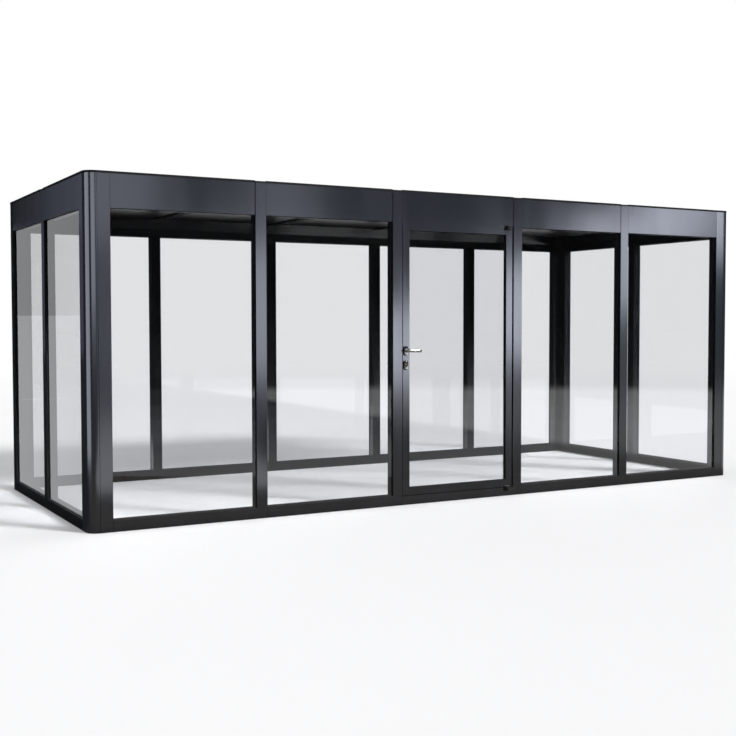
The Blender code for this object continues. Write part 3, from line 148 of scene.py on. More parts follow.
def turned_shell(
    profile: np.ndarray, centre: Vector, axis: Vector, steps: int = 32
) -> tuple[np.ndarray, Faces]:
    """Turn a profile about an axis: point = centre + height * axis + radius * (cos a, sin a).

    Args:
        profile: Radius and height of each profile point, from one end to the other.
        centre: Place of height zero on the axis.
        axis: Unit direction of growing height.
        steps: Points round the axis.

    Returns:
        Points and faces.
    """
    side = axis.orthogonal().normalized()
    other = axis.cross(side)
    angle = np.arange(steps) * 2 * math.pi / steps
    circle = np.cos(angle)[:, None] * np.array(side) + np.sin(angle)[:, None] * np.array(other)
    rings = profile[:, 0, None, None] * circle + profile[:, 1, None, None] * np.array(axis)
    return tube_shell(rings + np.array(centre))


def carry_profile(profile: np.ndarray, path: np.ndarray, depth: float) -> tuple[np.ndarray, Faces]:
    """Carry a profile along a path in a wall's s-z plane, with a mitre at each bend.

    Point = path point + across * mitre, at depth - rise. The mitre is the sum of the two normals
    of the path's legs at that bend, divided by one plus their dot product.

    Args:
        profile: Across and rise of each profile point, anticlockwise as seen along the path.
        path: The path's s and z, one row each.
        depth: The d from which the profile rises towards the outside.

    Returns:
        Points in the wall's coordinates, and faces.
    """
    leg = np.diff(path, axis=0)
    leg = leg / np.linalg.norm(leg, axis=1, keepdims=True)
    normal = np.stack([leg[:, 1], -leg[:, 0]], -1)
    before, after = np.vstack([normal[:1], normal]), np.vstack([normal, normal[-1:]])
    mitre = (before + after) / (1 + (before * after).sum(1, keepdims=True))
    flat = path[:, None, :] + profile[None, :, 0:1] * mitre[:, None, :]
    deep = np.broadcast_to(depth - profile[:, 1], flat.shape[:2])
    return tube_shell(np.stack([flat[..., 0], deep, flat[..., 1]], -1))


def smooth_copy(node: str, degrees: float) -> bpy.types.Object:
    """Copy a node with its corners merged, to shade as a curve where it bends less than an angle.

    Args:
        node: The node's name.
        degrees: The least bend that stays a sharp edge.

    Returns:
        The copy, which stands for the node.
    """
    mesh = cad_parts[node].data.copy()
    shape = bmesh.new()
    shape.from_mesh(mesh)
    bmesh.ops.remove_doubles(shape, verts=shape.verts, dist=1e-5)
    flat = math.radians(0.4)
    bmesh.ops.dissolve_limit(shape, angle_limit=flat, verts=shape.verts, edges=shape.edges)
    shape.to_mesh(mesh)
    shape.free()
    mesh.materials.clear()
    mesh.shade_smooth()
    mesh.set_sharp_from_angle(angle=math.radians(degrees))
    piece = bpy.data.objects.new(f"{node}_skin", mesh)
    bpy.context.scene.collection.objects.link(piece)
    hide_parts(node)
    return piece


@dataclass(frozen=True)
class WallPlane:
    """A wall's own coordinates: s along it from its left end, d inward from its face, z up."""

    origin: tuple[float, float]
    along: tuple[float, float]
    inward: tuple[float, float]

    def place(self, points: np.ndarray) -> np.ndarray:
        """Turn rows of s, d and z into the model's coordinates."""
        flat = self.origin + points[..., 0:1] * np.array(self.along)
        flat = flat + points[..., 1:2] * np.array(self.inward)
        return np.concatenate([flat, points[..., 2:3]], -1)

    def point(self, s: float, d: float, z: float) -> Vector:
        """Give one place of the wall in the model's coordinates."""
        return Vector(self.place(np.array([[s, d, z]]))[0])

    def direction(self, s: float, d: float, z: float) -> Vector:
        """Turn a direction of the wall into the model's coordinates."""
        return self.point(s, d, z) - self.point(0, 0, 0)

    def span(self, node: str) -> tuple[np.ndarray, np.ndarray]:
        """Give a node's lowest and highest s, d and z in this wall."""
        corners = np.array([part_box(node)[0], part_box(node)[1]])
        flat = corners[:, :2] - np.array(self.origin)
        along, inward = flat @ np.array(self.along), flat @ np.array(self.inward)
        local = np.stack([along, inward, corners[:, 2]], -1)
        return local.min(0), local.max(0)


FRONT_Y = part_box("front_sill")[0].y
REAR_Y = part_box("rear_sill")[1].y
LEFT_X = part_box("left_sill")[0].x
RIGHT_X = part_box("right_sill")[1].x


class Side(Enum):
    """The four walls as seen from outside."""

    FRONT = WallPlane((LEFT_X, FRONT_Y), (1.0, 0.0), (0.0, 1.0))
    RIGHT = WallPlane((RIGHT_X, FRONT_Y), (0.0, 1.0), (-1.0, 0.0))
    REAR = WallPlane((RIGHT_X, REAR_Y), (-1.0, 0.0), (0.0, -1.0))
    LEFT = WallPlane((LEFT_X, REAR_Y), (0.0, -1.0), (1.0, 0.0))


# Shared parts of the finishes


class Graph:
    """A node tree with short calls to add nodes and link them."""

    def __init__(self, tree: bpy.types.NodeTree) -> None:
        """Keep the tree and clear it."""
        self.tree = tree
        tree.nodes.clear()

    def add(self, kind: str, inputs: dict | None = None, **settings: object) -> bpy.types.Node:
        """Add a node.

        Args:
            kind: The node's type without its ShaderNode prefix.
            inputs: Values or output sockets for its inputs, by name or number.
            **settings: Properties to set on the node.

        Returns:
            The new node.
        """
        prefix = "" if kind.startswith("Node") else "ShaderNode"
        node = self.tree.nodes.new(prefix + kind)
        for key, value in settings.items():
            setattr(node, key, value)
        for key, value in (inputs or {}).items():
            if isinstance(value, bpy.types.NodeSocket):
                self.tree.links.new(value, node.inputs[key])
            else:
                node.inputs[key].default_value = value
        return node

    def maths(
        self,
        operation: str,
        first: object,
        second: object,
        third: object = 0.0,
        clamp: bool = False,
    ) -> object:
        """Add a Math node and return its output."""
        inputs = {0: first, 1: second, 2: third}
        return self.add("Math", inputs, operation=operation, use_clamp=clamp).outputs[0]

    def ramp(
        self, value: object, low: float, high: float, out_low: float = 0.0, out_high: float = 1.0
    ) -> object:
        """Map a value smoothly from one range to another and return the output."""
        inputs = {"Value": value, "From Min": low, "From Max": high}
        inputs |= {"To Min": out_low, "To Max": out_high}
        return self.add("MapRange", inputs, interpolation_type="SMOOTHSTEP").outputs[0]

    def noise(
        self, vector: object, scale: float, detail: float = 3.0, roughness: float = 0.5
    ) -> object:
        """Add a Noise texture and return its value."""
        inputs = {"Vector": vector, "Scale": scale, "Detail": detail, "Roughness": roughness}
        return self.add("TexNoise", inputs).outputs[0]

    def mix_colour(self, share: object, first: object, second: object) -> object:
        """Mix two colours and return the output."""
        node = self.add("Mix", data_type="RGBA")
        for index, value in ((0, share), (6, first), (7, second)):
            if isinstance(value, bpy.types.NodeSocket):
                self.tree.links.new(value, node.inputs[index])
            else:
                node.inputs[index].default_value = value
        return node.outputs[2]


def new_group(
    name: str, inputs: dict[str, float], outputs: tuple[str, ...]
) -> tuple[Graph, dict, bpy.types.Node]:
    """Start a shader node group with number inputs and number outputs.

    Args:
        name: The group's name.
        inputs: Names and first values of the inputs.
        outputs: Names of the outputs.

    Returns:
        The graph, the input sockets by name and the output node.
    """
    tree = bpy.data.node_groups.new(name, "ShaderNodeTree")
    graph = Graph(tree)
    for key, value in inputs.items():
        socket = tree.interface.new_socket(key, in_out="INPUT", socket_type="NodeSocketFloat")
        socket.default_value = value
    for key in outputs:
        tree.interface.new_socket(key, in_out="OUTPUT", socket_type="NodeSocketFloat")
    entry = graph.add("NodeGroupInput")
    sockets = {key: entry.outputs[key] for key in inputs}
    return graph, sockets, graph.add("NodeGroupOutput")


def build_coat_grain() -> bpy.types.NodeTree:
    """Build the grain of a sprayed or rolled coat: fine orange peel under slow changes of tone.

    Height is fine noise plus a tenth of coarser noise. Tone is slow noise stretched up the piece,
    as a coat varies along an extrusion.
    """
    graph, given, result = new_group("coat_grain", {"Grain Size": 0.0012}, ("Height", "Tone"))
    place = graph.add("TexCoord").outputs["Object"]
    scale = graph.maths("DIVIDE", 1.0, given["Grain Size"])
    fine = graph.add("TexNoise", {"Vector": place, "Scale": scale, "Detail": 2.0}).outputs[0]
    coarse = graph.noise(place, 60.0)
    height = graph.maths("MULTIPLY_ADD", coarse, 0.1, fine)
    stretched = graph.add("Mapping", {"Vector": place, "Scale": (3.0, 3.0, 0.6)}).outputs[0]
    tone = graph.ramp(graph.noise(stretched, 1.6, 4.0), 0.3, 0.7)
    graph.tree.links.new(height, result.inputs["Height"])
    graph.tree.links.new(tone, result.inputs["Tone"])
    return graph.tree


def build_dust() -> bpy.types.NodeTree:
    """Build the dust mask: thick near the ground and on upward faces, broken up by noise.

    Mask = amount * noise * (splash below the splash height + the share of a face that looks up).
    """
    given_values = {"Amount": 0.5, "Splash Height": 0.30}
    graph, given, result = new_group("settled_dust", given_values, ("Mask",))
    place = graph.add("TexCoord").outputs["Object"]
    height = graph.add("SeparateXYZ", {0: place}).outputs[2]
    upward = graph.add("SeparateXYZ", {0: graph.add("NewGeometry").outputs["Normal"]}).outputs[2]
    climb = graph.maths("DIVIDE", height, given["Splash Height"])
    low = graph.maths("SUBTRACT", 1.0, climb, clamp=True)
    lying = graph.ramp(upward, 0.5, 1.0, 0.0, 0.6)
    broken = graph.ramp(graph.noise(place, 35.0, 6.0, 0.7), 0.35, 0.75)
    settled = graph.maths("ADD", graph.maths("MULTIPLY", low, low), lying)
    mask = graph.maths("MULTIPLY", settled, broken)
    mask = graph.maths("MULTIPLY", mask, given["Amount"], clamp=True)
    graph.tree.links.new(mask, result.inputs["Mask"])
    return graph.tree


def build_brushing() -> bpy.types.NodeTree:
    """Build fine straight brush lines: noise drawn out forty times along one axis."""
    graph, given, result = new_group("brush_lines", {"Line Size": 0.0004}, ("Height", "Tone"))
    place = graph.add("TexCoord").outputs["Object"]
    drawn = graph.add("Mapping", {"Vector": place, "Scale": (0.025, 1.0, 1.0)}).outputs[0]
    scale = graph.maths("DIVIDE", 1.0, given["Line Size"])
    lines = graph.add("TexNoise", {"Vector": drawn, "Scale": scale, "Detail": 2.0}).outputs[0]
    graph.tree.links.new(lines, result.inputs["Height"])
    graph.tree.links.new(graph.ramp(lines, 0.3, 0.7), result.inputs["Tone"])
    return graph.tree


def build_edge_mask() -> bpy.types.NodeTree:
    """Build the edge mask: one less the dot product of the bevelled normal and the true one.
    Finishes use it for real edge wear and for a painted edge highlight.
    """
    graph, given, result = new_group("edge_wear", {"Width": 0.0012}, ("Mask",))
    rounded = graph.add("Bevel", {"Radius": given["Width"]}, samples=4).outputs[0]
    true = graph.add("NewGeometry").outputs["Normal"]
    compared = graph.add("VectorMath", {0: rounded, 1: true}, operation="DOT_PRODUCT")
    aligned = compared.outputs["Value"]
    place = graph.add("TexCoord").outputs["Object"]
    edge = graph.ramp(aligned, 0.995, 0.80)
    broken = graph.ramp(graph.noise(place, 90.0, 4.0, 0.7), 0.35, 0.6)
    graph.tree.links.new(graph.maths("MULTIPLY", edge, broken, clamp=True), result.inputs["Mask"])
    return graph.tree


class Effect(Enum):
    """The shared groups, by name."""

    GRAIN = "coat_grain"
    DUST = "settled_dust"
    BRUSHING = "brush_lines"
    EDGE = "edge_wear"


EFFECTS: dict[Effect, bpy.types.NodeTree] = {
    Effect.GRAIN: build_coat_grain(),
    Effect.DUST: build_dust(),
    Effect.BRUSHING: build_brushing(),
    Effect.EDGE: build_edge_mask(),
}


def use_effect(graph: Graph, effect: Effect, inputs: dict[str, float]) -> bpy.types.Node:
    """Place a shared group in a material with its own values."""
    node = graph.add("Group", node_tree=EFFECTS[effect])
    for key, value in inputs.items():
        node.inputs[key].default_value = value
    return node


def start_material(
    name: str, viewport: tuple[float, float, float]
) -> tuple[Graph, bpy.types.Material]:
    """Make an empty material with a plain viewport colour."""
    material = bpy.data.materials.new(name)
    material.use_nodes = True
    material.diffuse_color = (*viewport, 1.0)
    return Graph(material.node_tree), material


# Finishes


@dataclass(frozen=True)
class CoatFinish:
    """A powder coat, paint or moulded skin with grain, slow tone changes, edges lightened by real
    wear and a painted highlight, and dust.
    """

    name: str
    colour: tuple[float, float, float]
    second: tuple[float, float, float]
    roughness: tuple[float, float]
    ior: float = 1.5
    grain: float = 0.0012
    bump: float = 0.04
    # Edge colour: real wear together with a painted edge highlight.
    wear_and_highlight: tuple[float, float, float] = (0.10, 0.10, 0.11)
    dust: tuple[float, float, float] = (0.16, 0.14, 0.12)
    dust_amount: float = 0.35
    edge_width: float = 0.0012

    def build(self) -> bpy.types.Material:
        """Build the material."""
        graph, material = start_material(self.name, self.colour)
        grain = use_effect(graph, Effect.GRAIN, {"Grain Size": self.grain})
        dust = use_effect(graph, Effect.DUST, {"Amount": self.dust_amount, "Splash Height": 0.16})
        edge = use_effect(graph, Effect.EDGE, {"Width": self.edge_width})
        tone = grain.outputs["Tone"]
        colour = graph.mix_colour(tone, (*self.colour, 1.0), (*self.second, 1.0))
        # Edges lighten towards the edge colour: partly real wear, partly a painted highlight.
        wear_and_highlight_share = graph.maths("MULTIPLY", edge.outputs["Mask"], 0.5)
        colour = graph.mix_colour(wear_and_highlight_share, colour, (*self.wear_and_highlight, 1.0))
        colour = graph.mix_colour(dust.outputs["Mask"], colour, (*self.dust, 1.0))
        clean = graph.ramp(tone, 0.0, 1.0, *self.roughness)
        rough = graph.maths("MULTIPLY_ADD", dust.outputs["Mask"], 0.35, clean)
        inputs = {"Strength": self.bump, "Distance": 0.0005, "Height": grain.outputs["Height"]}
        bump = graph.add("Bump", inputs).outputs[0]
        inputs = {"Base Color": colour, "Roughness": rough, "Normal": bump}
        shader = graph.add("BsdfPrincipled", inputs)
        shader.inputs["IOR"].default_value = self.ior
        graph.add("OutputMaterial", {"Surface": shader.outputs[0]})
        return material


@dataclass(frozen=True)
class MetalFinish:
    """A bare or plated metal with brush lines, faint cloudiness and edges lightened as a painted
    highlight.
    """

    name: str
    colour: tuple[float, float, float]
    second: tuple[float, float, float]
    roughness: tuple[float, float]
    line_size: float = 0.0004
    bump: float = 0.05
    edge_width: float = 0.0006

    def build(self) -> bpy.types.Material:
        """Build the material."""
        graph, material = start_material(self.name, self.colour)
        lines = use_effect(graph, Effect.BRUSHING, {"Line Size": self.line_size})
        cloud = use_effect(graph, Effect.GRAIN, {"Grain Size": 0.004})
        edge = use_effect(graph, Effect.EDGE, {"Width": self.edge_width})
        drawn = graph.maths("MULTIPLY", lines.outputs["Tone"], 0.4)
        share = graph.maths("MULTIPLY_ADD", cloud.outputs["Tone"], 0.6, drawn)
        colour = graph.mix_colour(share, (*self.colour, 1.0), (*self.second, 1.0))
        # Edges lighten towards white: a painted highlight where they would catch light.
        painted_edge_highlight = graph.maths("MULTIPLY", edge.outputs["Mask"], 0.3)
        colour = graph.mix_colour(painted_edge_highlight, colour, (0.9, 0.9, 0.9, 1.0))
        rough = graph.ramp(share, 0.0, 1.0, *self.roughness)
        inputs = {"Strength": self.bump, "Distance": 0.0002, "Height": lines.outputs["Height"]}
        bump = graph.add("Bump", inputs).outputs[0]
        inputs = {"Base Color": colour, "Roughness": rough, "Normal": bump}
        shader = graph.add("BsdfPrincipled", inputs)
        shader.inputs["Metallic"].default_value = 1.0
        graph.add("OutputMaterial", {"Surface": shader.outputs[0]})
        return material


@dataclass(frozen=True)
class GlassFinish:
    """Clear float glass with a faint film that scatters a little light. Its colour is the glass's
    own iron tint, except on the left-wall and door panes, which are given a darker colour that is
    not a known tint of their glass.
    """

    name: str
    colour: tuple[float, float, float]
    second: tuple[float, float, float]
    ior: float = 1.52

    def build(self) -> bpy.types.Material:
        """Build the material, which lets light through to cast no dark shadow of the pane."""
        graph, material = start_material(self.name, self.colour)
        place = graph.add("TexCoord").outputs["Object"]
        height = graph.add("SeparateXYZ", {0: place}).outputs[2]
        cloud = graph.ramp(graph.noise(place, 1.3, 3.0), 0.3, 0.7)
        colour = graph.mix_colour(cloud, (*self.colour, 1.0), (*self.second, 1.0))
        splash = graph.ramp(height, 0.16, 0.06)
        speck = graph.ramp(graph.noise(place, 160.0, 4.0, 0.7), 0.55, 0.80)
        film = graph.maths("MULTIPLY", splash, speck)
        rough = graph.maths("MULTIPLY", film, 0.08)
        shader = graph.add("BsdfPrincipled", {"Base Color": colour, "Roughness": rough})
        shader.inputs["Transmission Weight"].default_value = 1.0
        shader.inputs["IOR"].default_value = self.ior
        clear = graph.add("BsdfTransparent", {"Color": (*self.colour, 1.0)})
        shadow = graph.add("LightPath").outputs["Is Shadow Ray"]
        mixed = graph.add("MixShader", {0: shadow, 1: shader.outputs[0], 2: clear.outputs[0]})
        graph.add("OutputMaterial", {"Surface": mixed.outputs[0]})
        return material


class Finish(Enum):
    """Every finish on the greenhouse."""

    FRAME = CoatFinish(
        "anthracite_frame_coat", (0.0072, 0.0080, 0.0100), (0.0090, 0.0099, 0.0122),
        (0.135, 0.165), 1.60, bump=0.02, wear_and_highlight=(0.03, 0.032, 0.036), dust=(0.05, 0.045, 0.04),
        dust_amount=0.22)
    ROOF = CoatFinish(
        "dark_roof_coat", (0.0082, 0.0090, 0.0104), (0.0092, 0.0101, 0.0116), (0.285, 0.295),
        grain=0.0016, dust=(0.05, 0.047, 0.043), dust_amount=0.10)
    RUBBER = CoatFinish(
        "black_rubber", (0.0045, 0.0045, 0.005), (0.007, 0.007, 0.0075), (0.55, 0.70), 1.40,
        bump=0.08, wear_and_highlight=(0.02, 0.02, 0.02), dust=(0.05, 0.045, 0.04), dust_amount=0.2)
    PIVOT = CoatFinish(
        "black_pivot_coat", (0.004, 0.004, 0.0045), (0.006, 0.006, 0.0065), (0.35, 0.45), bump=0.03,
        wear_and_highlight=(0.03, 0.03, 0.03), dust=(0.05, 0.045, 0.04), dust_amount=0.15)
    GLASS = GlassFinish("float_glass", (0.945, 0.951, 0.960), (0.940, 0.947, 0.956))
    # The left-wall and door panes are given a darker colour than the other panes, where they look
    # darker; it is not a known tint of their glass.
    SIDE_GLASS = GlassFinish("side_float_glass", (0.800, 0.806, 0.820), (0.795, 0.802, 0.816))
    DOOR_GLASS = GlassFinish("door_float_glass", (0.810, 0.817, 0.835), (0.805, 0.813, 0.831))
    CHROME = MetalFinish("satin_chrome_plate", (0.60, 0.61, 0.63), (0.68, 0.69, 0.70), (0.09, 0.13))
    STEEL = MetalFinish("brushed_stainless", (0.48, 0.48, 0.49), (0.58, 0.58, 0.59), (0.26, 0.38))
    BRASS = MetalFinish("turned_brass", (0.62, 0.48, 0.23), (0.70, 0.56, 0.28), (0.22, 0.32))


class Palette:
    """The finishes' materials, each built once."""

    def __init__(self) -> None:
        """Start with nothing built."""
        self.built: dict[Finish, bpy.types.Material] = {}

    def get(self, finish: Finish) -> bpy.types.Material:
        """Return a finish's material."""
        if finish not in self.built:
            self.built[finish] = finish.value.build()
        return self.built[finish]

    def dress_node(self, node: str, finish: Finish) -> bpy.types.Object:
        """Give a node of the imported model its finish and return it."""
        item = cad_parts[node]
        item.data.materials.clear()
        item.data.materials.append(self.get(finish))
        return item

    def dress_piece(
        self, piece: bpy.types.Object, finish: Finish, body: str, slot: str
    ) -> bpy.types.Object:
        """Finish a new piece and set the body it rides on."""
        piece.data.materials.append(self.get(finish))
        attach(piece, body)
        LOG.info("%s: %d faces", piece.name, len(piece.data.polygons))
        return piece


# Sub-assemblies


CHROME_ON_LEAF = (Finish.CHROME, LEAF_BODY, "satin_chrome")

@dataclass
class Framework:
    """Posts, mullions, headers, sills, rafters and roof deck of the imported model."""

    palette: Palette
    post_bend: float = 20.0

    def members(self) -> list[str]:
        """Name every straight coated member."""
        names = []
        for wall, mullions in (("front", 4), ("rear", 4), ("left", 1), ("right", 1)):
            names += [f"{wall}_sill", f"{wall}_header"]
            names += [f"{wall}_mullion_{index + 1}" for index in range(mullions)]
        names += [f"rafter_{index + 1}" for index in range(RAFTERS)]
        return names + ["door_lock_stile", "door_hinge_stile", "door_top_rail", "door_bottom_rail"]

    def build(self) -> dict[str, bpy.types.Object]:
        """Dress the members, the roof and the posts, whose round noses shade as curves.

        Returns:
            What stands for each coated member, by its node's name.
        """
        coated = {node: self.palette.dress_node(node, Finish.FRAME) for node in self.members()}
        for end in ("front_left", "front_right", "rear_left", "rear_right"):
            node = f"corner_post_{end}"
            skin = smooth_copy(node, self.post_bend)
            coated[node] = self.palette.dress_piece(skin, Finish.FRAME, BASE_BODY, "powder_coat")
        coated["roof_deck"] = self.palette.dress_node("roof_deck", Finish.ROOF)
        LOG.info("framework: %d members", len(coated))
        return coated


@dataclass
class RoofCaps:
    """Cover strips over the deck's seams, each held by a row of round-headed screws."""

    palette: Palette
    width: float = 0.027
    rise: float = 0.0014
    end_gap: float = 0.040
    screws: int = 6
    screw_radius: float = 0.0040
    screw_rise: float = 0.0013

    def strip(self, middle: float) -> tuple[np.ndarray, Faces]:
        """Draw one strip: a low crowned profile carried from the front rim to the rear edge.

        Profile height = rise * (1 - across^4), flat on top and rolling down to its edges.

        Args:
            middle: The X of its middle.

        Returns:
            Points and faces.
        """
        low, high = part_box("roof_deck")
        across = np.linspace(-1.0, 1.0, 13)
        top = self.rise * (1 - across**4)
        xs = np.concatenate([across, [1.0, -1.0]]) * self.width / 2 + middle
        zs = np.concatenate([top, [-0.0002, -0.0002]]) + high.z
        ys = np.linspace(low.y + self.end_gap, high.y - self.end_gap / 4, 24)
        return tube_shell(np.stack(np.broadcast_arrays(xs, ys[:, None], zs), -1))

    def screw(self, middle: float, along: float) -> tuple[np.ndarray, Faces]:
        """Turn one screw's head: a low dome with a round socket in its middle."""
        radius, rise = self.screw_radius, self.screw_rise
        profile = np.array([
            (radius, 0.0), (radius, 0.2 * rise), (0.92 * radius, 0.62 * rise),
            (0.70 * radius, 0.9 * rise), (0.45 * radius, rise), (0.38 * radius, 0.9 * rise),
            (0.36 * radius, 0.2 * rise)])
        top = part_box("roof_deck")[1].z + self.rise - 0.0001
        return turned_shell(profile, Vector((middle, along, top)), Vector((0, 0, 1)), 16)

    def build(self) -> None:
        """Cap every seam."""
        low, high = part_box("roof_deck")
        places = np.linspace(low.y + 0.12, high.y - 0.12, self.screws)
        for index in range(RAFTERS):
            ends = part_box(f"rafter_{index + 1}")
            middle = (ends[0].x + ends[1].x) / 2
            cap = make_piece(f"roof_seam_cap_{index + 1}", *self.strip(middle))
            self.palette.dress_piece(cap, Finish.ROOF, BASE_BODY, "roof_coat")
            heads = join_shells([self.screw(middle, float(place)) for place in places])
            row = make_piece(f"roof_cap_screws_{index + 1}", *heads)
            self.palette.dress_piece(row, Finish.STEEL, BASE_BODY, "steel")


@dataclass
class Glazing:
    """Panes, and the rubber seals that hold each one in its groove."""

    palette: Palette
    side_bite: float = 0.012
    foot_bite: float = 0.0092
    leaf_bite: float = 0.010
    seal_profile: tuple[tuple[float, float], ...] = (
        (-0.0040, 0.0000), (0.0000, 0.0000), (0.0014, 0.0003), (0.0024, 0.0011),
        (0.0027, 0.0022), (0.0026, 0.0034), (-0.0040, 0.0034))

    def seal_ring(self, low: np.ndarray, high: np.ndarray, outer: bool) -> tuple[np.ndarray, Faces]:
        """Carry the seal's profile round a pane with mitred corners.

        Each corner's ring is corner + inset * (towards the middle along s and z), at its own depth.

        Args:
            low: Lowest s, d and z: the sight edge, and the depth of the glass's face.
            high: Highest s, d and z.
            outer: Whether the seal is on the outside face of the glass.

        Returns:
            Points in the wall's coordinates, and faces.
        """
        profile = np.array(self.seal_profile)
        depth = low[1] - 0.0002 - profile[::-1, 1] if outer else high[1] + 0.0002 + profile[::-1, 1]
        inset = profile[::-1, 0]
        rings = []
        for end_s, end_z in ((0, 0), (1, 0), (1, 1), (0, 1)):
            corner_s, corner_z = (high if end_s else low)[0], (high if end_z else low)[2]
            step_s, step_z = 1 - 2 * end_s, 1 - 2 * end_z
            along, up = corner_s + step_s * inset, corner_z + step_z * inset
            rings.append(np.stack([along, depth, up], -1))
        faces = grid_faces(4, len(profile), wrap_rows=True)
        if outer:
            faces = [face[::-1] for face in faces]
        return np.stack(rings), faces

    def pane(self, node: str, side: Side, bites: tuple[float, float], body: str) -> None:
        """Dress one pane and seal it on both faces.

        Args:
            node: The pane's node.
            side: The wall that it stands in.
            bites: How far its sides and top, and its foot, sit in their grooves.
            body: The body that it rides on.
        """
        finish = Finish.SIDE_GLASS if side is Side.LEFT else Finish.GLASS
        self.palette.dress_node(node, Finish.DOOR_GLASS if body == LEAF_BODY else finish)
        low, high = side.value.span(node)
        sides, foot = bites
        low = low + np.array([sides, 0, foot])
        high = high - np.array([sides, 0, sides])
        shells = []
        for outer in (True, False):
            points, faces = self.seal_ring(low, high, outer)
            shells.append((side.value.place(points), faces))
        seal = make_piece(f"{node}_seals", *join_shells(shells), smooth=False)
        self.palette.dress_piece(seal, Finish.RUBBER, body, "black_pivot")

    def build(self) -> None:
        """Glaze every wall and the door leaf."""
        counts = {Side.FRONT: 4, Side.REAR: 5, Side.LEFT: 2, Side.RIGHT: 2}
        for side, count in counts.items():
            for index in range(count):
                node = f"{side.name.lower()}_pane_{index + 1}"
                self.pane(node, side, (self.side_bite, self.foot_bite), BASE_BODY)
        self.pane("door_glass", Side.FRONT, (self.leaf_bite, self.leaf_bite), LEAF_BODY)


@dataclass
class DoorSeals:
    """Bulb seal on the door stops, and the brush under the leaf."""

    palette: Palette
    stop_width: float = 0.008
    bulb_width: float = 0.0056
    bulb_rise: float = 0.0026
    stop_depth: float = 0.041
    head_stop_drop: float = 0.012
    head_end: float = 3.128
    brush_gap: float = 0.0006
    brush_depth: float = 0.006
    bristle_rows: int = 420

    def stop_seal(self) -> None:
        """Carry a half-round bulb up the lock-side stop and along the head stop."""
        angle = np.linspace(math.pi, 0.0, 11)
        across, rise = self.bulb_width / 2 * np.cos(angle), self.bulb_rise * np.sin(angle)
        profile = np.stack([across, rise], -1)
        wall = Side.FRONT.value
        side = wall.span("front_mullion_2")[1][0] - self.stop_width / 2
        head = wall.span("front_header")[0][2] + self.head_stop_drop / 2
        foot = wall.span("door_lock_stile")[0][2] + 0.001
        path = np.array([(side, foot), (side, head), (self.head_end, head)])
        points, faces = carry_profile(profile, path, self.stop_depth)
        seal = make_piece("door_stop_seal", wall.place(points), faces)
        self.palette.dress_piece(seal, Finish.RUBBER, BASE_BODY, "black_pivot")

    def brush(self) -> None:
        """Hang the brush: a thin curtain whose thickness swells and thins with each tuft.

        Thickness = depth * (0.75 + 0.25 * cos(tuft)), and the foot splays to half as much again.
        """
        wall = Side.FRONT.value
        low, _ = wall.span("door_lock_stile")
        _, high = wall.span("door_hinge_stile")
        threshold = low[2] - 0.005
        middle = (low[1] + high[1]) / 2
        along = np.linspace(low[0] + 0.004, high[0] - 0.004, self.bristle_rows)
        swell = 0.75 + 0.25 * np.cos(np.arange(self.bristle_rows) * math.pi)
        half = self.brush_depth / 4 * swell
        foot, top = threshold + self.brush_gap, low[2] + 0.0002
        splayed = 1.5 * half
        depth = np.stack([middle - splayed, middle + splayed, middle + half, middle - half], -1)
        height = np.array([foot, foot, top, top])
        rings = np.stack(np.broadcast_arrays(along[:, None], depth, height), -1)
        points, faces = tube_shell(rings)
        curtain = make_piece("threshold_brush", wall.place(points), faces, smooth=False)
        self.palette.dress_piece(curtain, Finish.RUBBER, LEAF_BODY, "black_pivot")

    def build(self) -> None:
        """Fit the seals."""
        self.stop_seal()
        self.brush()


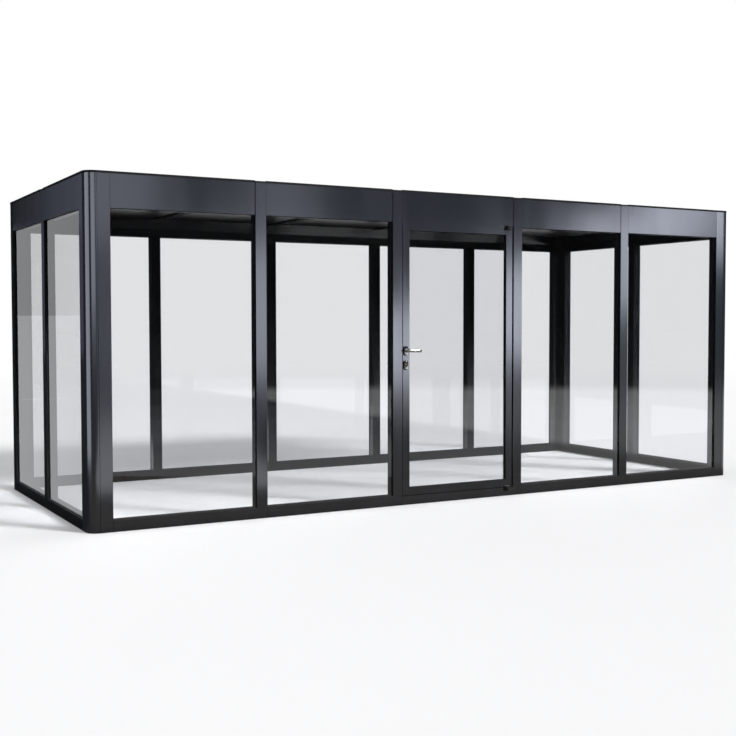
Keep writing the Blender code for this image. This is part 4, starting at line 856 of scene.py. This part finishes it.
@dataclass
class DoorHardware:
    """Levers, plates, lock and pivots of the door, and the screws of the forend and the strike."""

    palette: Palette
    bend: float = 35.0
    screw_radius: float = 0.0036
    screw_rise: float = 0.0005
    screw_from_end: float = 0.009
    steel: tuple[str, ...] = ("lock_case", "latch_bolt", "deadbolt", "strike_plate")
    curved: dict[str, tuple[Finish, str, str]] = field(default_factory=lambda: {
        "outside_rose": CHROME_ON_LEAF,
        "outside_escutcheon": CHROME_ON_LEAF,
        "inside_backplate": CHROME_ON_LEAF,
        "outside_lever": (Finish.CHROME, "lever_set", "satin_chrome"),
        "inside_lever": (Finish.CHROME, "lever_set", "satin_chrome"),
        "cylinder_body": CHROME_ON_LEAF,
        "cylinder_plug": (Finish.BRASS, "key_plug", "brass"),
        "top_pivot_fixed": (Finish.PIVOT, BASE_BODY, "black_pivot"),
        "top_pivot_leaf": (Finish.PIVOT, LEAF_BODY, "black_pivot"),
        "foot_pivot_fixed": (Finish.PIVOT, BASE_BODY, "black_pivot"),
        "foot_pivot_leaf": (Finish.PIVOT, LEAF_BODY, "black_pivot")})

    def edge_screws(self, node: str, outward: float, body: str) -> None:
        """Set a flush countersunk screw near each end of an upright edge plate.

        Args:
            node: The plate's node, or the one that it is part of.
            outward: The s direction that the plate faces, 1 or -1.
            body: The body that it rides on.
        """
        wall = Side.FRONT.value
        low, high = wall.span(node)
        face = high[0] if outward > 0 else low[0]
        middle = (low[1] + high[1]) / 2
        radius, rise = self.screw_radius, self.screw_rise
        profile = np.array([
            (radius, -0.0002), (radius, 0.25 * rise), (0.9 * radius, 0.8 * rise),
            (0.6 * radius, rise), (0.42 * radius, rise), (0.40 * radius, 0.8 * rise),
            (0.38 * radius, 0.1 * rise)])
        heads = []
        for height in (low[2] + self.screw_from_end, high[2] - self.screw_from_end):
            axis = wall.direction(outward, 0, 0)
            heads.append(turned_shell(profile, wall.point(face, middle, height), axis, 24))
        row = make_piece(f"{node}_screws", *join_shells(heads))
        self.palette.dress_piece(row, Finish.STEEL, body, "steel")

    def build(self) -> None:
        """Dress the hardware and set its screws."""
        for node in self.steel:
            self.palette.dress_node(node, Finish.STEEL)
        for node, (finish, body, slot) in self.curved.items():
            self.palette.dress_piece(smooth_copy(node, self.bend), finish, body, slot)
        self.edge_screws("lock_case", -1.0, LEAF_BODY)
        self.edge_screws("strike_plate", 1.0, BASE_BODY)
        LOG.info("door hardware: %d nodes", len(self.steel) + len(self.curved))


# Studio


@dataclass(frozen=True)
class PhotoView:
    """The camera at the photograph's viewing angle, for a square picture."""

    position: tuple[float, float, float] = (-4.6039, -7.9870, 1.3116)
    yaw: float = 0.5078
    pitch: float = -0.0406
    roll: float = -0.0015
    focal_share: float = 1.52821
    sensor: float = 36.0

    def build(self) -> None:
        """Place the camera and make it the scene's own."""
        lens = bpy.data.cameras.new("photo_view")
        lens.sensor_fit = "HORIZONTAL"
        lens.sensor_width = self.sensor
        lens.lens = self.focal_share * self.sensor
        lens.clip_end = 500.0
        eye = bpy.data.objects.new("photo_view", lens)
        bpy.context.scene.collection.objects.link(eye)
        ahead = Vector((
            math.sin(self.yaw) * math.cos(self.pitch),
            math.cos(self.yaw) * math.cos(self.pitch),
            math.sin(self.pitch)))
        level = Vector((math.cos(self.yaw), -math.sin(self.yaw), 0.0))
        up = level.cross(ahead)
        right = level * math.cos(self.roll) + up * math.sin(self.roll)
        up = right.cross(ahead)
        turn = Matrix((right, up, -ahead)).transposed().to_4x4()
        eye.matrix_world = Matrix.Translation(self.position) @ turn
        bpy.context.scene.camera = eye


MIRRORED_EYE = Vector((-4.6039, 2 * FRONT_Y + 7.9870, 1.3116))
SIDE_EYE = Vector((2 * LEFT_X + 4.6039, -7.9870, 1.3116))
LEFT_CORNER = Vector((LEFT_X + 0.05, FRONT_Y + 0.05, 1.3116))
PALE_TINT = (0.97, 0.98, 1.0)


@dataclass(frozen=True)
class Softbox:
    """An unseen panel of light that only some pieces mirror, placed by the directions it fills."""

    name: str
    turn: tuple[float, float]
    height: tuple[float, float]
    radiance: float
    tint: tuple[float, float, float] = (0.81, 0.855, 1.0)
    centre: Vector = field(default_factory=lambda: MIRRORED_EYE)
    distance: float = 20.0

    def build(self, receivers: bpy.types.Collection) -> None:
        """Stand the panel upright, facing its centre.

        Args:
            receivers: The pieces that it lights.
        """
        turn = math.radians(sum(self.turn) / 2)
        away = Vector((math.sin(turn), -math.cos(turn), 0.0))
        low, high = (self.distance * math.tan(math.radians(angle)) for angle in self.height)
        width = 2 * self.distance * math.tan(math.radians(self.turn[1] - self.turn[0]) / 2)
        middle = self.centre + away * self.distance + Vector((0, 0, (low + high) / 2))
        size, light = (width, high - low), (self.radiance, self.tint)
        add_panel(self.name, middle, away, size, light, receivers)


@dataclass(frozen=True)
class GroundBoard:
    """An unseen panel of light that lies on the floor, facing up, placed the same way."""

    name: str
    turn: float
    reach: tuple[float, float]
    width: float
    radiance: float
    tint: tuple[float, float, float] = (0.86, 0.90, 1.0)
    centre: Vector = field(default_factory=lambda: MIRRORED_EYE)

    def build(self, receivers: bpy.types.Collection) -> None:
        """Lay the panel across its direction.

        Args:
            receivers: The pieces that it lights.
        """
        turn = math.radians(self.turn)
        away = Vector((math.sin(turn), -math.cos(turn), 0.0))
        middle = self.centre + away * (sum(self.reach) / 2)
        middle.z = 0.01
        size = (self.width, self.reach[1] - self.reach[0])
        light = (self.radiance, self.tint)
        add_panel(self.name, middle, away, size, light, receivers, flat=True)


def add_panel(
    name: str,
    middle: Vector,
    away: Vector,
    size: tuple[float, float],
    light: tuple[float, tuple[float, float, float]],
    receivers: bpy.types.Collection,
    flat: bool = False,
) -> None:
    """Add one panel of light.

    Args:
        name: The panel's name.
        middle: Its middle.
        away: Level direction from what it lights towards it.
        size: Its width and its height, or its depth when it lies flat.
        light: Its radiance in red and its tint.
        receivers: The pieces that it lights.
        flat: Whether it lies facing up.
    """
    radiance, tint = light
    lamp = bpy.data.lights.new(name, "AREA")
    lamp.shape = "RECTANGLE"
    lamp.size, lamp.size_y = size
    lamp.color = tint
    lamp.energy = radiance / tint[0] * 4.0 * size[0] * size[1]
    item = bpy.data.objects.new(name, lamp)
    bpy.context.scene.collection.objects.link(item)
    level = Vector((0, 0, 1)).cross(away)
    back = Vector((0, 0, -1)) if flat else away
    turned = Matrix((level, back.cross(level), back)).transposed().to_4x4()
    item.matrix_world = Matrix.Translation(middle) @ turned
    item.visible_camera = False
    item.visible_transmission = False
    item.light_linking.receiver_collection = receivers


@dataclass
class Studio:
    """Pale floor, white surroundings, key light and the panels that the frame and glass mirror.

    What the camera sees, also through glass, is white. What the coat and glass mirror is a dark
    room with white overhead, a grey floor in front and a white floor behind and to the right.
    """

    coated: dict[str, bpy.types.Object]
    floor_size: float = 240.0
    floor_drop: float = 0.0005
    soft_light: float = 0.55
    key_energy: float = 2.6
    key_spread: float = 12.0
    key_from: tuple[float, float, float] = (0.52, -0.68, 0.52)
    frame_panels: tuple[Softbox | GroundBoard, ...] = (
        Softbox("base_panel", (-4.0, 62.0), (-3.6, 16.0), 0.12, (0.667, 0.76, 1.0), distance=20.6),
        Softbox("far_left_glow", (9.0, 18.6), (4.2, 9.6), 1.35),
        Softbox("left_glow", (19.5, 27.0), (-2.8, 4.0), 3.2),
        Softbox("left_upper_glow", (23.2, 26.3), (4.6, 9.0), 1.05),
        Softbox("middle_glow", (27.0, 33.5), (-3.2, 0.8), 5.0),
        Softbox("door_glow", (33.5, 39.3), (-1.9, 3.0), 5.1),
        Softbox("right_glow", (39.3, 43.0), (0.5, 5.4), 4.4),
        Softbox("far_right_glow", (43.0, 45.6), (3.6, 8.0), 5.0),
        Softbox("end_glow", (45.6, 49.5), (3.6, 7.6), 1.7),
        Softbox("far_left_low_glow", (9.0, 18.6), (-3.0, 4.2), 0.42, (0.80, 0.81, 1.0)),
        GroundBoard("left_ground_glow", 15.0, (8.8, 15.5), 3.2, 1.5))
    left_nose_panels: tuple[Softbox, ...] = (
        Softbox(
            "nose_side_strip", (-112.0, -66.0), (-20.3, 28.0), 2.5,
            centre=LEFT_CORNER, distance=3.5),
        Softbox("nose_front_strip", (-46.0, -8.0), (0.6, 14.0), 2.4, centre=LEFT_CORNER),
        Softbox("nose_front_low", (-50.0, -8.0), (-3.0, 0.6), 0.35, centre=LEFT_CORNER))
    right_post_panels: tuple[Softbox, ...] = (
        Softbox("right_post_glow", (44.5, 49.5), (2.8, 9.0), 1.9),)
    side_frame_panels: tuple[Softbox, ...] = (
        Softbox(
            "side_fascia_glow", (193.4, 198.0), (4.6, 12.0), 0.15, (0.66, 0.74, 1.0), SIDE_EYE),
        Softbox(
            "side_base_panel", (186.0, 200.0), (-1.6, 4.6), 0.09, (0.62, 0.64, 1.0), SIDE_EYE))
    side_glass_panels: tuple[Softbox | GroundBoard, ...] = (
        Softbox("side_sky_board", (189.0, 199.0), (0.35, 20.0), 0.50, PALE_TINT, SIDE_EYE),
        Softbox("side_low_board", (189.0, 199.0), (-3.73, 0.35), 0.74, PALE_TINT, SIDE_EYE),
        GroundBoard("side_ground_board", 194.0, (7.2, 20.0), 6.0, 0.74, PALE_TINT, SIDE_EYE))
    front_glass_panels: tuple[GroundBoard, ...] = (
        GroundBoard("front_glass_board", 31.0, (9.4, 13.0), 22.0, 0.55),
        GroundBoard("front_glass_board_2", 31.0, (13.0, 15.0), 22.0, 0.42),
        GroundBoard("front_glass_board_3", 31.0, (15.0, 17.5), 22.0, 0.28),
        GroundBoard("front_glass_board_4", 31.0, (17.5, 21.7), 22.0, 0.14))

    def build_floor(self) -> None:
        """Lay the floor: pale where seen, white or darker where mirrored, mid-grey for bounces."""
        half = self.floor_size / 2
        flat = [[-half, -half], [half, -half], [half, half], [-half, half]]
        points = np.array([[x, y, -self.floor_drop] for x, y in flat])
        floor = make_piece("studio_floor", points, [(0, 1, 2, 3)], False)
        graph, material = start_material("pale_floor", (0.9, 0.9, 0.9))
        path = graph.add("LightPath")
        place = graph.add("TexCoord").outputs["Object"]
        east, north, _ = graph.add("SeparateXYZ", {0: place}).outputs
        before = graph.maths("SUBTRACT", FRONT_Y, north)
        ahead = graph.maths("MULTIPLY", graph.ramp(before, -0.3, 0.3), graph.ramp(before, 5.0, 1.5))
        distance = graph.add("VectorMath", {0: place}, operation="LENGTH").outputs["Value"]
        slanted = graph.maths("MULTIPLY_ADD", north, 0.05, east)
        right_of_left_wall = graph.ramp(slanted, -2.55, -2.05)
        behind_rear = graph.ramp(north, REAR_Y, REAR_Y + 0.4)
        beyond = graph.maths("MAXIMUM", behind_rear, graph.ramp(east, 2.9, 3.4))
        beyond = graph.maths("MULTIPLY", beyond, right_of_left_wall)
        open_floor = graph.maths("MULTIPLY", beyond, graph.ramp(distance, 17.0, 13.5))
        mirrored = graph.mix_colour(ahead, (0.02, 0.02, 0.021, 1.0), (0.33, 0.30, 0.25, 1.0))
        glossy = graph.maths("GREATER_THAN", path.outputs["Glossy Depth"], 0.5)
        spread = graph.maths("GREATER_THAN", path.outputs["Diffuse Depth"], 0.5)
        tone = graph.noise(place, 0.35, 2.0)
        pale = graph.ramp(tone, 0.3, 0.7, 0.955, 0.965)
        seen = graph.mix_colour(glossy, pale, mirrored)
        colour = graph.mix_colour(spread, seen, (0.22, 0.22, 0.22, 1.0))
        matt = graph.add("BsdfDiffuse", {"Color": colour})
        far = graph.ramp(distance, 9.0, 26.0)
        white = graph.add("Emission", {"Color": (1.0, 1.0, 1.0, 1.0), "Strength": 1.0})
        plain = graph.maths("SUBTRACT", 1.0, graph.maths("MAXIMUM", glossy, spread), clamp=True)
        behind = graph.maths("MULTIPLY", open_floor, graph.maths("MULTIPLY", glossy, 0.9))
        fade = graph.maths("MAXIMUM", graph.maths("MULTIPLY", far, plain), behind)
        mixed = graph.add("MixShader", {0: fade, 1: matt.outputs[0], 2: white.outputs[0]})
        graph.add("OutputMaterial", {"Surface": mixed.outputs[0]})
        floor.data.materials.append(material)

    def build_world(self) -> None:
        """Surround the scene: white where seen, dark where mirrored, and soft for its light."""
        world = bpy.data.worlds.new("studio_world")
        bpy.context.scene.world = world
        world.use_nodes = True
        graph = Graph(world.node_tree)
        path = graph.add("LightPath")
        direction = graph.add("TexCoord").outputs["Generated"]
        _, north, up = graph.add("SeparateXYZ", {0: direction}).outputs
        glossy = graph.maths("GREATER_THAN", path.outputs["Glossy Depth"], 0.5)
        spread = graph.maths("GREATER_THAN", path.outputs["Diffuse Depth"], 0.5)
        behind = graph.ramp(north, -0.15, 0.25, 0.008, 0.015)
        overhead = graph.ramp(up, 0.22, 0.7, 0.0, 1.0)
        mirrored = graph.maths("ADD", behind, overhead)
        level = graph.mix_colour(glossy, (1.0, 1.0, 1.0, 1.0), mirrored)
        soft = (self.soft_light, self.soft_light, self.soft_light * 1.02, 1.0)
        level = graph.mix_colour(spread, level, soft)
        graph.add("OutputWorld", {"Surface": graph.add("Background", {"Color": level}).outputs[0]})

    def hang(self, name: str, nodes: list[str], panels: tuple[Softbox | GroundBoard, ...]) -> None:
        """Light one set of nodes with one set of panels."""
        receivers = bpy.data.collections.new(name)
        for node in nodes:
            receivers.objects.link(self.coated.get(node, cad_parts[node]))
        for panel in panels:
            panel.build(receivers)

    def build_lights(self) -> None:
        """Set the key light and the mirrored panels."""
        sun = bpy.data.lights.new("key_light", "SUN")
        sun.energy = self.key_energy
        sun.angle = math.radians(self.key_spread)
        key = bpy.data.objects.new("key_light", sun)
        bpy.context.scene.collection.objects.link(key)
        key.rotation_euler = Vector(self.key_from).to_track_quat("Z", "Y").to_euler()
        posts = ["corner_post_front_left", "corner_post_front_right"]
        facing = posts + [f"front_mullion_{index + 1}" for index in range(4)]
        facing += ["front_header", "front_sill", "door_lock_stile", "door_hinge_stile"]
        facing += ["door_top_rail", "door_bottom_rail"]
        self.hang("facing_members", facing, self.frame_panels)
        self.hang("left_front_post", posts[:1], self.left_nose_panels)
        self.hang("right_front_post", posts[1:], self.right_post_panels)
        side = ["left_header", "left_mullion_1", "left_sill", posts[0]]
        self.hang("side_members", side, self.side_frame_panels)
        self.hang("left_panes", ["left_pane_1", "left_pane_2"], self.side_glass_panels)
        panes = [f"front_pane_{index + 1}" for index in range(4)] + ["door_glass"]
        self.hang("front_panes", panes, self.front_glass_panels)

    def build(self) -> None:
        """Build the whole studio."""
        self.build_floor()
        self.build_world()
        self.build_lights()
        PhotoView().build()
        bpy.context.scene.view_settings.view_transform = "Standard"
        LOG.info("studio ready")


def main() -> None:
    """Build every sub-assembly in order."""
    logging.basicConfig(level=logging.INFO, format="%(name)s: %(message)s")
    palette = Palette()
    coated = Framework(palette).build()
    RoofCaps(palette).build()
    Glazing(palette).build()
    DoorSeals(palette).build()
    DoorHardware(palette).build()
    Studio(coated).build()


if __name__ == "__main__":
    main()
